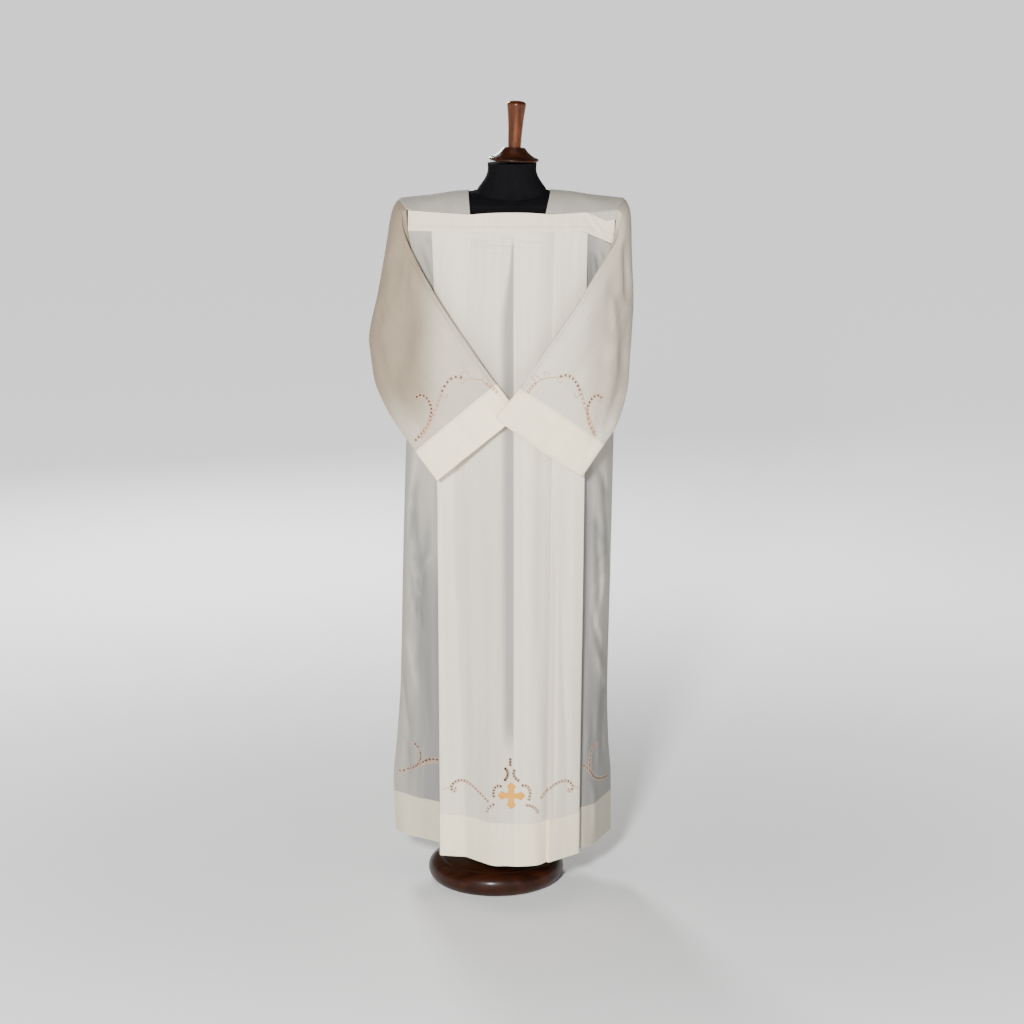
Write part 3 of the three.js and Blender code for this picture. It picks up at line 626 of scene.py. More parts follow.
# %% Fold tables
FOLD_LEVELS = [1455, 1300, 950, 95]
FRONT_FOLDS = [
    # xTop, setTop, xChest, yChest, xWaist, yWaist, xHem, yHem, softness
    (-200, 4.0, -190, -52, -213, -16, -224, 8, 1.0),
    (-184, 7.2, -168, -70, -182, -48, -182, -22, 1.0),
    (-127, 7.2, -121, -84, -108, -80, -97, -76, 0.03),
    (-126, 3.6, -120, -88, -106, -85, -94, -82, 0.03),
    (-166, 3.6, -159, -78, -151, -94, -137, -126, 0.03),
    (-167, 0.0, -160, -82, -151, -99, -136, -132, 0.03),
    (-84, 0.0, -96, -98, -118, -101.5, -79, -142, 0.04),
    (-10, 0.0, -9, -114, -12, -137, -16, -203, 1.0),
    (-2, 2.5, -1, -110, 0, -128, 4, -197, 0.5),
    (4, 0.0, 6, -115, 13, -138, 27, -204, 0.6),
    (50, 0.0, 50, -111, 55, -131, 79, -196, 1.0),
    (86, 0.0, 85, -102, 89, -113, 94.5, -171, 0.03),
    (92, 0.0, 91, -105.5, 94, -119.5, 100, -178, 0.03),
    (160, 0.0, 160, -83, 163, -99, 167, -118, 0.03),
    (159, 3.6, 159, -79, 163, -94, 167.5, -112, 0.03),
    (119, 3.6, 119, -90, 116, -84, 118, -92, 0.03),
    (120, 7.2, 120, -86, 115, -79, 116, -86, 0.03),
    (180, 7.2, 166, -70, 186, -62, 172, -93, 1.0),
    (200, 4.0, 190, -52, 213, -28, 200, -64, 1.0),
]
BACK_FOLDS = [
    (-200, 4.0, -190, 52, -212, 62, -222, 80, 1.0),
    (-170, 7.2, -164, 72, -178, 84, -186, 98, 1.0),
    (-100, 7.2, -98, 86, -96, 92, -100, 104, 0.03),
    (-99, 3.6, -97, 90, -94, 97, -97, 110, 0.03),
    (-139, 3.6, -138, 82, -135, 108, -132, 140, 0.03),
    (-140, 0.0, -139, 86, -135, 113, -131, 146, 0.03),
    (-66, 0.0, -66, 104, -70, 124, -72, 152, 1.0),
    (-12, 0.0, -12, 110, -16, 136, -24, 178, 0.8),
    (0, 2.5, 0, 106, -2, 126, -4, 164, 0.5),
    (11, 0.0, 12, 110, 14, 135, 20, 180, 0.8),
    (62, 0.0, 62, 105, 64, 124, 70, 158, 1.0),
    (134, 0.0, 134, 87, 138, 111, 142, 140, 0.03),
    (133, 3.6, 133, 83, 138, 106, 143, 134, 0.03),
    (93, 3.6, 93, 92, 95, 96, 99, 108, 0.03),
    (94, 7.2, 94, 88, 97, 91, 102, 102, 0.03),
    (166, 7.2, 162, 73, 176, 82, 184, 96, 1.0),
    (200, 4.0, 190, 52, 214, 58, 224, 76, 1.0),
]
COLUMN, SEAM_AT_HEM = 4.6, (240, 40)
PANEL_LEVELS = np.concatenate([
    np.linspace(1455, 1400, 24), np.linspace(1394, 352, 118), np.linspace(346, 192, 30),
    [190.7, 189.3], np.linspace(183, 98, 14), [95.6, 95]])


# %% [markdown]
# Creases are placed one by one. A row gives a line on the cloth as seen from its own side,
# how wide the crease is, and how far it sinks (or, below zero, rises), and a trough fades out
# at both ends. Each layer of cloth at one spot moves together, so the layers never cross.

# %% Creases
CREASE_END = 0.3  # the share of its length over which a crease fades out


def crease_depth(x, z, creases):
    total = np.zeros_like(x)
    for x0, z0, x1, z1, width, depth in creases:
        length2 = (x1 - x0) ** 2 + (z1 - z0) ** 2
        t = ((x - x0) * (x1 - x0) + (z - z0) * (z1 - z0)) / length2
        inside = np.clip(t, 0, 1)
        away = np.hypot(x - x0 - inside * (x1 - x0), z - z0 - inside * (z1 - z0))
        ends = smooth(inside / CREASE_END) * smooth((1 - inside) / CREASE_END)
        total += depth * np.exp(-(away / width) ** 2) * ends
    return total


FRONT_CREASES = [
    # x, z at one end, x, z at the other, width, depth (mm)
    # the centre panel
    (-118, 1240, -92, 700, 10, 3.4), (-104, 980, -68, 130, 9, 4.2), (-60, 900, -40, 250, 24, 3.4),
    (-34, 1080, -22, 500, 14, -3.0), (48, 1100, 56, 480, 18, -3.4), (72, 1200, 70, 420, 12, 4.0),
    (116, 1000, 128, 380, 18, 3.4), (104, 860, 110, 120, 4.5, 3.2), (113, 760, 132, 330, 6, 2.4),
    (142, 960, 146, 160, 12, -2.6), (-128, 760, -112, 130, 8, -2.4), (-62, 460, -50, 100, 12, 2.8),
    (22, 560, 30, 240, 10, -2.4), (60, 380, 86, 100, 9, 2.8), (-84, 640, -66, 380, 6, -1.8),
    (132, 520, 140, 120, 7, 2.2), (-20, 400, -10, 110, 9, 1.8), (-112, 420, -98, 110, 7, 2.0),
    # gathers under the band, and the marks of its ironing
    (-108, 1443, -14, 1436, 3.4, 3.8), (-66, 1432, 40, 1428, 3.2, 3.0), (-96, 1424, -26, 1419, 3.6, -2.4),
    (8, 1441, 70, 1437, 3.2, 3.2), (-50, 1417, 10, 1413, 3.8, 2.0), (-30, 1447, 22, 1445, 3, 2.8),
    (-44, 1300, 64, 1292, 4, 0.8), (-140, 1180, 150, 1176, 4, 0.7), (-120, 720, 150, 716, 4, 0.7),
    (36, 700, 120, 560, 7, 0.9), (-120, 560, -60, 430, 8, 1.0),
    # the left side, below the sleeve
    (-212, 930, -184, 640, 9.3, 11.1), (-198, 1010, -218, 800, 7.6, -7.8), (-168, 880, -198, 520, 10.2, 9.1),
    (-216, 720, -176, 560, 6, 7.8), (-224, 580, -192, 420, 7.6, -7.2), (-190, 600, -164, 300, 10.2, 7),
    (-206, 440, -216, 150, 9.3, 7), (-160, 720, -154, 330, 9.3, -6), (-228, 500, -212, 330, 6, 7),
    (-172, 420, -184, 130, 6.8, -4.7), (-150, 1000, -154, 780, 6, 4.4), (-222, 330, -204, 230, 5.1, 3.9),
    (-198, 700, -186, 660, 3.4, 4.2), (-206, 690, -196, 640, 3.4, -3.9),
    (-194, 927, -210, 858, 8, 7.5), (-210, 858, -211, 765, 7, 7.5), (-157, 765, -203, 680, 7, -6.5),
    (-207, 748, -200, 727, 6, 6.0), (-209, 662, -203, 640, 6, 5.5), (-188, 560, -196, 470, 6, 5.0),
    # the right side
    (187, 962, 225, 856, 8, 7.5), (187, 841, 218, 759, 7, 6.5), (218, 759, 193, 723, 6, 5.5),
    (223, 702, 181, 666, 6, -5.5), (223, 464, 199, 257, 8, 6.5), (190, 610, 214, 560, 5, -4.0),
    (204, 950, 224, 690, 6.8, 10.4), (188, 880, 210, 560, 8.5, 10.9), (218, 720, 194, 560, 6.8, -7.3),
    (182, 640, 224, 470, 6.8, 8.6), (198, 540, 228, 420, 6, -7.3), (184, 460, 210, 180, 8.5, 7.8),
    (222, 440, 214, 230, 6, 6.8), (176, 960, 178, 500, 6.8, 5.2), (208, 350, 232, 240, 6.8, 5.7),
    (196, 260, 204, 110, 6.8, -4.9), (192, 420, 178, 300, 5.1, -3.9),
    # the small triangles beside the band
    (-196, 1432, -146, 1290, 6, 4.2), (-206, 1400, -170, 1290, 5, -3.2), (-190, 1440, -134, 1416, 5, 3.0),
    (-180, 1446, -140, 1350, 4, 2.6), (172, 1420, 200, 1330, 5, 3.8), (184, 1422, 206, 1346, 4, -3.0),
    (168, 1428, 174, 1320, 4, 3.0), (178, 1416, 192, 1310, 4, 2.4),
]
BACK_CREASES = [
    (-120, 1300, -98, 700, 16, 3.0), (-58, 1200, -40, 500, 22, 2.6), (44, 1260, 60, 620, 18, 2.6),
    (100, 1180, 116, 520, 16, 2.8), (-96, 660, -112, 180, 14, -2.2), (34, 560, 44, 160, 14, -2.2),
    (120, 600, 100, 180, 12, 2.2), (-28, 460, -36, 130, 12, 2.0), (84, 1440, 20, 1436, 4, 1.4),
    (-90, 1442, -30, 1438, 4, 1.4), (-60, 1426, 40, 1422, 4, -1.0),
    (-206, 940, -184, 640, 9, 7.5), (-170, 880, -200, 560, 9, 6.5), (-208, 720, -182, 560, 6, 5.0),
    (-176, 640, -204, 420, 8, 6.0), (-198, 560, -190, 400, 7, -4.5), (-196, 430, -182, 170, 9, 5.0),
    (-168, 480, -160, 200, 10, -4.0), (-214, 400, -206, 220, 7, 4.4), (-186, 700, -208, 640, 5, -4.0),
    (206, 960, 188, 620, 9, 7.5), (176, 900, 196, 600, 9, 6.0), (180, 720, 208, 470, 7, 5.6),
    (206, 640, 190, 560, 5, -4.4), (204, 440, 186, 200, 9, 5.4), (170, 560, 164, 260, 10, -4.0),
    (216, 380, 206, 180, 7, 4.0), (166, 1180, 186, 1010, 9, 4.6), (-164, 1200, -182, 1030, 9, 4.6),
    (-190, 1400, -150, 1290, 9, 3.0), (192, 1404, 150, 1300, 9, 3.0),
]


# %% [markdown]
# The panel maker reads the fold table row by row, rounds the soft folds, presses the creases
# in, and keeps its side edges on the seams. The lower 95 mm are turned up, so they are
# thicker, with a small step where the turned-up edge is sewn.

# %% Panels
def rounded(points, softness, passes=16):
    for _ in range(passes):
        middle = (points[:, :-2] + points[:, 2:]) / 2
        points[:, 1:-1] += softness[None, 1:-1, None] * 0.5 * (middle - points[:, 1:-1])
    return points


def panel_surface(face, reach, folds, bottom, creases):
    """Points, normals and the column on which each fold line runs; the seams count as folds."""
    hem = [(-SEAM_AT_HEM[0], SEAM_AT_HEM[1]), *(row[6:8] for row in folds), SEAM_AT_HEM]
    steps = [max(1, round(math.dist(p, q) / COLUMN)) for p, q in zip(hem, hem[1:])]
    starts = [0, *(int(n) for n in np.cumsum(steps))]
    stretch = np.concatenate([np.repeat(np.arange(len(steps)), steps), [len(steps) - 1]])
    share = np.concatenate([np.arange(n) / n for n in steps] + [[1.0]])

    def spread(values):
        """A value for each column from one for each fold."""
        values = np.asarray(values, float)
        return mix(values[stretch], values[stretch + 1], share)

    x_top = spread([side_x(-1, BAND_BOTTOM), *(row[0] for row in folds), side_x(1, BAND_BOTTOM)])
    drop = bottom(x_top + CLOTH) - SEAM - BAND_BOTTOM
    levels = PANEL_LEVELS[:, None]
    z = levels + drop[None] * np.clip((levels - 1395) / 60, 0, 1)

    def fold_line(x0, set0, x1, y1, x2, y2, x3, y3, _):
        y0 = face * (band_y(x0, reach) + BAND_LEAN - set0)
        return (level_value(FOLD_LEVELS, [x0, x1, x2, x3], z), level_value(FOLD_LEVELS, [y0, y1, y2, y3], z))

    seams = [(side_x(side, z), side_y(face, z)) for side in (-1, 1)]
    lines = np.array([seams[0], *(fold_line(*row) for row in folds), seams[1]])
    i, j = np.indices(z.shape)
    x, y = (mix(lines[stretch[j], axis, i, j], lines[stretch[j] + 1, axis, i, j], share[j])
            for axis in (0, 1))
    points = rounded(np.stack([x, y, z], 2), np.clip(spread([0, *(row[8] for row in folds), 0]), 0, 1))
    seam_fade = smooth(np.minimum(np.arange(z.shape[1]), np.arange(z.shape[1])[::-1]) / 4)[None]
    top_fade = smooth((1452 - levels) / 12)
    depth = crease_depth(points[..., 0], points[..., 2], creases) * seam_fade * top_fade
    ripple = (0.5 * np.sin(points[..., 0] / 17 + 1.3 * np.sin(z / 260))
              + 0.4 * np.sin(points[..., 0] / 7.3 + z / 410))
    points[..., 1] -= face * (depth + ripple * seam_fade * top_fade * 0.7)
    normals = grid_normals(points, outward=np.array([0, face, 0]))
    turn = np.pi / 2 * smooth((1400 - PANEL_LEVELS) / 90)
    for column, sign in ((0, -1), (-1, 1)):
        normals[:, column] = np.stack([sign * np.sin(turn), face * np.cos(turn), 0 * turn], 1)
    return points, normals, starts


def hem_thickness(shape):
    levels = PANEL_LEVELS[:, None] * np.ones(shape[:2])
    roll = 0.5 * np.exp(-((levels - 97) / 2.5) ** 2)
    return np.where(levels < HEM_TOP, DOUBLE_CLOTH, CLOTH) + roll


front_points, front_normals, front_starts = panel_surface(-1, BAND_REACH, FRONT_FOLDS, front_bottom,
                                                          FRONT_CREASES)
back_points, back_normals, back_starts = panel_surface(1, BACK_REACH, BACK_FOLDS, back_bottom, BACK_CREASES)
print("panel grid", front_points.shape[:2], back_points.shape[:2])


# %% [markdown]
# Pieces that lie on the cloth need to know where the cloth is. `Face` keeps one side of a
# piece of cloth and finds the row and column under any x and z, so that stitches, eyelets and
# the cross can follow it.

# %% Finding a place on the cloth
class Face:
    def __init__(self, points, normals, thickness, allowed):
        self.points, self.normals, self.thickness = points, normals, thickness
        self.rows, self.columns = np.nonzero(allowed)
        self.x, self.z = points[self.rows, self.columns, 0], points[self.rows, self.columns, 2]

    def steps(self, i, j):
        """From the grid point at or before a place: one row down and one column along."""
        a, b = min(int(i), self.points.shape[0] - 2), min(int(j), self.points.shape[1] - 2)
        return self.points[a + 1, b] - self.points[a, b], self.points[a, b + 1] - self.points[a, b]

    def find(self, x, z):
        k = int(np.argmin((self.x - x) ** 2 + (self.z - z) ** 2))
        i, j = float(self.rows[k]), float(self.columns[k])
        high = (self.points.shape[0] - 1.001, self.points.shape[1] - 1.001)
        for _ in range(3):
            here = between(self.points, i, j)
            matrix = np.stack(self.steps(i, j), 1)[[0, 2]]
            if abs(np.linalg.det(matrix)) < 1e-6:
                break
            di, dj = np.linalg.solve(matrix, np.array([x - here[0], z - here[2]]))
            i = float(np.clip(i + np.clip(di, -2, 2), 0, high[0]))
            j = float(np.clip(j + np.clip(dj, -2, 2), 0, high[1]))
        return i, j

    def at(self, x, z, lift=0.0):
        i, j = self.find(x, z)
        normal = unit(between(self.normals, i, j))
        return between(self.points, i, j) + normal * (between(self.thickness, i, j) / 2 + lift), normal

    def hole(self, x, z, diameter):
        """A round hole as a place on the grid with its radius in rows and in columns."""
        i, j = self.find(x, z)
        return i, j, *(diameter / 2 / np.linalg.norm(step) for step in self.steps(i, j))


def faces_between(points, normals, thickness, starts, spans):
    """One Face for each span of fold lines, so that the layers hidden in a pleat are never found."""
    for first, last in spans:
        allowed = np.zeros(points.shape[:2], bool)
        allowed[:, starts[first]:starts[last] + 1] = True
        yield Face(points, normals, thickness, allowed)


front_thick, back_thick = hem_thickness(front_points.shape), hem_thickness(back_points.shape)
FRONT_CENTRE, FRONT_LEFT, FRONT_RIGHT = faces_between(
    front_points, front_normals, front_thick, front_starts, ((6, 14), (0, 3), (17, 20)))
BACK_CENTRE, BACK_LEFT, BACK_RIGHT = faces_between(
    back_points, back_normals, back_thick, back_starts, ((6, 12), (0, 3), (15, 18)))
print("cross centre lies at y", round(float(FRONT_CENTRE.at(17, 251)[0][1])), "mm")

# %% [markdown]
# A sleeve is a flattened tube. Its table gives the upper fold and the lower fold at several
# places down the arm, and half the tube's thickness. It starts on the armhole and is pushed
# forward wherever it would sink into the front.

# %% Sleeve shapes
LEFT_SLEEVE = np.array([
    # share, upper fold x, y, z, lower fold x, y, z, half thickness
    (0.08, -234, -70, 1476, -240, 40, 1292, 40), (0.20, -222, -88, 1444, -262, 24, 1232, 36),
    (0.35, -194, -110, 1388, -292, -2, 1200, 32), (0.50, -153, -126, 1320, -286, -35, 1140, 27),
    (0.65, -108, -139, 1254, -260, -66, 1079, 23), (0.80, -60, -148, 1187, -224, -97, 1029, 18),
    (0.90, -20, -154, 1135, -190, -125, 987, 14), (1.00, 23, -159, 1080, -149, -143, 936, 12)])
RIGHT_SLEEVE = np.array([
    (0.08, 238, -58, 1474, 231, 40, 1294, 32), (0.20, 221, -84, 1436, 243, 24, 1240, 29),
    (0.35, 186, -110, 1382, 249, -6, 1196, 29), (0.50, 146, -128, 1316, 250, -38, 1132, 27),
    (0.65, 104, -144, 1255, 242, -66, 1082, 25), (0.80, 55, -164, 1186, 225, -98, 1040, 21),
    (0.90, 16, -180, 1130, 196, -127, 1002, 16), (1.00, -26, -194, 1080, 157, -148, 947, 13)])
RING_POINTS, RING_SQUARENESS, INNER_SHARE, FOLD_CLOSENESS = 144, 2.3, 0.15, 0.62
BODY_CLEARANCE, PLEAT_STEP, CUFF_PEEK = 5.6, 14, np.array((-1.6, 0, -3.6))
SLEEVE_SHARES = np.concatenate([
    np.linspace(0, 0.12, 12), np.linspace(0.13, CUFF_START - 0.006, 62),
    [CUFF_START - 0.001, CUFF_START + 0.002], np.linspace(0.89, 0.995, 12), [1.0]])
HEIGHT_CELL, LEVEL_COLUMN, NOTHING_IN_FRONT = 3.0, 60, 60.0
HEIGHT_X, HEIGHT_Z = np.arange(-240, 241, HEIGHT_CELL), np.arange(900, 1456, 2 * HEIGHT_CELL)
PIPING_FROM_FOLD, PIPING_WIDTH, PIPING_DEPTH = 7.5, 1.9, 1.2  # the line beside its upper fold


def front_heights():
    """Foremost y of the front over a grid of x and z, read by the sleeves."""
    found = np.full((len(HEIGHT_Z), len(HEIGHT_X)), NOTHING_IN_FRONT)
    upwards = front_points[::-1]
    heights = upwards[:, LEVEL_COLUMN, 2]
    for k, z in enumerate(HEIGHT_Z):
        row = upwards[int(np.argmin(np.abs(heights - z)))]
        for a, b in zip(row[:-1], row[1:]):
            low, high = sorted((a[0], b[0]))
            inside = (HEIGHT_X >= low - HEIGHT_CELL / 2) & (HEIGHT_X <= high + HEIGHT_CELL / 2)
            found[k, inside] = np.minimum(found[k, inside], min(a[1], b[1]))
    return found


HEIGHTS = front_heights()


def front_y(x, z):
    i = np.clip((z - HEIGHT_Z[0]) / (2 * HEIGHT_CELL), 0, len(HEIGHT_Z) - 1.001)
    j = np.clip((x - HEIGHT_X[0]) / HEIGHT_CELL, 0, len(HEIGHT_X) - 1.001)
    a, b = i.astype(int), j.astype(int)
    s, t = i - a, j - b
    return mix(mix(HEIGHTS[a, b], HEIGHTS[a + 1, b], s), mix(HEIGHTS[a, b + 1], HEIGHTS[a + 1, b + 1], s), t)


def armhole_line(side):
    """The closed line on which a sleeve starts: over the shoulder, down behind, up before."""
    t = np.linspace(-1, 1, 97)
    x = yoke_outer_x(t)
    y = t * np.where(t < 0, band_y(x, BAND_REACH), band_y(x, BACK_REACH))
    over = np.stack([side * x, y, shoulder_height(x, y) + SEAM + CLOTH / 2], 1)
    z = ARMHOLE_BOTTOM + (BAND_BOTTOM - ARMHOLE_BOTTOM) * (1 - np.sin(np.pi / 2 * np.linspace(0, 1, 97)))
    behind = np.stack([side_x(side, z), armhole_half(z), z], 1)
    before = np.stack([side_x(side, z), -armhole_half(z), z], 1)[::-1][1:]
    return np.concatenate([over, behind, before])


RING_SHARES = np.arange(RING_POINTS) / RING_POINTS
RING_SHARES = RING_SHARES - FOLD_CLOSENESS * np.sin(2 * np.pi * RING_SHARES) / (2 * np.pi)


def spaced(line, shares):
    """Points at shares of a closed line's length."""
    closed = np.concatenate([line, line[:1]])
    reached = walked(closed)
    return along(closed, reached, shares * reached[-1])


def sleeve_ring(table, side, s):
    def at(share):
        return np.array([level_value(-table[:, 0], column, -share) for column in table.T[1:]])

    here = at(s)
    half, centre = (here[:3] - here[3:6]) / 2, (here[:3] + here[3:6]) / 2
    ahead, behind = at(min(1, s + 0.06)), at(max(0.08, s - 0.06))
    axis = (ahead[:3] + ahead[3:6] - behind[:3] - behind[3:6]) / 2
    outward = unit(np.cross(half, axis))
    if outward[0] * side - outward[1] < 0:
        outward = -outward
    angle = 2 * np.pi * RING_SHARES
    inner = mix(INNER_SHARE, 1, smooth((s - 0.3) / 0.5))
    bulge = here[6] * bent(np.sin(angle), RING_SQUARENESS) * np.where(angle > np.pi, inner, 1)
    return centre + half * bent(np.cos(angle), RING_SQUARENESS)[:, None] + outward * bulge[:, None]


def clear_of_body(points):
    """Pushes a sleeve forward to where it lies on the front, clear of the pleats' edges."""
    x, y, z = points[..., 0], points[..., 1], np.minimum(points[..., 2], BAND_BOTTOM)
    edge = np.abs(np.where(x < 0, side_x(-1, z), side_x(1, z)))
    limit = edge - 0.5
    front = np.minimum.reduce([front_y(np.clip(x + step, -limit, limit), z)
                               for step in (-PLEAT_STEP, 0, PLEAT_STEP)])
    moved = np.where((np.abs(x) < edge) & (y <= 10), np.minimum(y, front - BODY_CLEARANCE), y)
    return np.stack([x, moved, points[..., 2]], -1)


LEFT_CREASES = [
    (-226, 1450, -276, 1240, 16.2, 8), (-212, 1436, -236, 1170, 18.8, 6.4),
    (-250, 1400, -270, 1210, 10, -4.4), (-196, 1330, -240, 1110, 22.5, 5.6),
    (-146, 1300, -214, 1130, 22.5, -4), (-264, 1210, -206, 1050, 18.8, 6),
    (-240, 1170, -190, 1030, 12.5, -4), (-186, 1200, -112, 1130, 20, 3.5), (-220, 1110, -172, 1000, 10, 3.7),
    (-124, 1260, -84, 1180, 25, 2.7), (-150, 1110, -60, 1050, 15, 2.4), (-98, 1100, -36, 1104, 12.5, -1.8),
    (-136, 1030, -108, 985, 10, 1.9), (-62, 1104, -28, 1054, 10, 1.8), (-282, 1230, -262, 1130, 10, 4),
    (-172, 1400, -186, 1290, 15, 3.2), (-200, 1400, -212, 1330, 7.5, -2.4),
    (-246, 1320, -230, 1230, 8.8, 2.4),
    (-206, 1240, -170, 1180, 10, -2.1), (-120, 1140, -84, 1090, 10, 1.4), (-180, 1100, -150, 1040, 8.8, -1.6),
]
RIGHT_CREASES = [
    (240, 1450, 252, 1290, 8, 7.6), (236, 1350, 246, 1130, 13.8, 6.4), (220, 1400, 212, 1200, 16.1, 4.5),
    (254, 1240, 230, 1050, 14.9, 5.6), (232, 1270, 206, 1090, 13.8, -4), (196, 1320, 176, 1160, 20.7, 4),
    (240, 1130, 196, 1020, 11.5, 4.5), (172, 1220, 126, 1120, 18.4, 3.4), (122, 1250, 88, 1170, 23, -2.6),
    (152, 1120, 82, 1056, 14.9, 2.6), (198, 1100, 178, 995, 9.2, 2.6), (104, 1050, 56, 1096, 11.5, 1.9),
    (62, 1200, 26, 1130, 14.9, 2.4), (216, 1330, 226, 1240, 8, -2.7), (258, 1290, 250, 1210, 6.9, 3.2),
    (206, 1230, 190, 1170, 9.2, 2.2), (130, 1190, 104, 1140, 9.2, -1.4), (84, 1110, 40, 1080, 9.2, 1.3),
    (224, 1196, 214, 1150, 5.8, 2.4), (186, 1040, 160, 975, 8, 1.9),
]
INNER_CREASES = [
    (-270, 1280, -240, 1100, 12, 5.0), (-240, 1200, -200, 1040, 12, -4.0), (264, 1280, 240, 1100, 12, 5.0),
    (244, 1200, 210, 1040, 12, -4.0), (-200, 1120, -170, 990, 10, 3.0), (210, 1120, 170, 990, 10, 3.0),
]


def sleeve_surface(side, table, creases):
    armhole = spaced(armhole_line(side), RING_SHARES)
    rows = []
    for s in SLEEVE_SHARES:
        ring = sleeve_ring(table, side, max(s, table[0, 0]))
        begun = armhole.copy()
        begun[:, 0] += side * (1.0 + 0.2 * smooth((1400 - armhole[:, 2]) / 60) if s == 0 else 80 * s)
        begun[:, 2] -= 60 * s * s
        row = mix(begun, ring, smooth(s / 0.22))
        if side > 0:
            inner = np.maximum(0, -np.sin(2 * np.pi * RING_SHARES))[:, None]
            row = row + CUFF_PEEK * smooth((s - 0.9) / 0.1) * inner
        rows.append(row if s == 0 else clear_of_body(row))
    points = np.array(rows)
    outward = np.zeros_like(points)
    outward[:, :RING_POINTS // 2], outward[:, RING_POINTS // 2:] = (side, -1, 0), (-side, 1, 0)
    normals = grid_normals(points, True, outward)
    start = smooth((SLEEVE_SHARES - 0.02) / 0.1)[:, None]
    facing = smooth((-normals[..., 1] - 0.05) / 0.4)
    away_facing = smooth((normals[..., 1] - 0.05) / 0.4)
    depth = (crease_depth(points[..., 0], points[..., 2], creases) * facing
             + crease_depth(points[..., 0], points[..., 2], INNER_CREASES) * away_facing * 0.7) * start
    from_fold = np.array([walked(ring) for ring in points])
    piping = PIPING_DEPTH * np.exp(-((from_fold - PIPING_FROM_FOLD) / PIPING_WIDTH) ** 2)
    piping = piping * smooth((SLEEVE_SHARES - 0.14) / 0.12)[:, None]
    points = points - normals * (depth + piping)[..., None]
    points = np.where((SLEEVE_SHARES[:, None, None] == 0), points, clear_of_body(points))
    normals = grid_normals(points, True, outward)
    normals[0, :, 0] = 0
    normals[0] = unit(normals[0])
    thickness = np.where(SLEEVE_SHARES > CUFF_START, CUFF_CLOTH, CLOTH)[:, None] * np.ones(points.shape[:2])
    return points, normals, thickness, facing > 0.3


left_sleeve = sleeve_surface(-1, LEFT_SLEEVE, LEFT_CREASES)
right_sleeve = sleeve_surface(1, RIGHT_SLEEVE, RIGHT_CREASES)
half_ring = np.zeros(left_sleeve[0].shape[:2], bool)
half_ring[10:, 2:RING_POINTS // 2 - 2] = True
SLEEVE_LEFT = Face(*left_sleeve[:3], half_ring & left_sleeve[3])
SLEEVE_RIGHT = Face(*right_sleeve[:3], half_ring & right_sleeve[3])
print("sleeves reach x", round(float(left_sleeve[0][..., 0].min())), "and",
      round(float(right_sleeve[0][..., 0].max())))

# %% [markdown]
# The openwork is a set of scrolls in broderie anglaise: rows of small punched eyelets between
# two stitched lines. Each scroll is a smooth curve given by four handles on the cloth, with
# the number and size of its eyelets. A row with no eyelets is a single stitched line.

# %% Scroll tables
def on_cloth(cloth, rows):
    return [(cloth, *row) for row in rows]


# four handles (x, z), number of eyelets, their diameter
HEM_SCROLLS = on_cloth(FRONT_CENTRE, [
    ((14, 334), (14, 328), (14, 322), (14, 316), 3, 4.3),
    ((1, 311), (12, 306), (11, 291), (1, 283), 6, 4.3),
    ((24, 310), (18, 300), (23, 290), (34, 284), 5, 4.0),
    ((-3, 270), (-16, 277), (-25, 264), (-20, 245), 6, 3.5),
    ((38, 273), (52, 278), (63, 262), (54, 239), 7, 3.5),
    ((-18, 231), (-27, 228), (-34, 219), (-35, 208), 4, 3.2),
    ((48, 230), (59, 230), (71, 222), (76, 208), 6, 3.2),
    ((-30, 233), (-56, 250), (-72, 270), (-95, 267), 11, 3.2),
    ((-95, 267), (-109, 264), (-119, 252), (-111, 243), 5, 3.2),
    ((-111, 243), (-105, 239), (-101, 247), (-108, 250), 2, 3.0),
    ((-116, 250), (-122, 249), (-128, 246), (-134, 243), 0, 0),
    ((80, 240), (96, 258), (110, 270), (130, 269), 9, 3.6),
    ((130, 269), (145, 267), (156, 252), (147, 243), 5, 3.6),
    ((147, 243), (141, 239), (137, 246), (144, 249), 2, 3.0),
    ((152, 250), (156, 249), (160, 247), (164, 245), 0, 0),
]) + on_cloth(FRONT_LEFT, [
    ((-199, 315), (-178, 302), (-176, 270), (-209, 251), 11, 4.4),
    ((-199, 315), (-206, 316), (-208, 308), (-201, 306), 0, 0),
    ((-209, 251), (-218, 245), (-226, 241), (-237, 239), 3, 3.4),
    ((-188, 268), (-174, 283), (-160, 288), (-143, 287), 6, 4.2),
    ((-190, 261), (-174, 275), (-160, 280), (-143, 280), 0, 0),
]) + on_cloth(FRONT_RIGHT, [
    ((200, 323), (189, 314), (187, 290), (189, 268), 6, 3.2),
    ((172, 286), (182, 281), (188, 270), (195, 257), 4, 3.4),
    ((195, 257), (201, 243), (212, 235), (234, 228), 7, 4.2),
    ((200, 323), (206, 326), (209, 318), (203, 315), 0, 0),
])
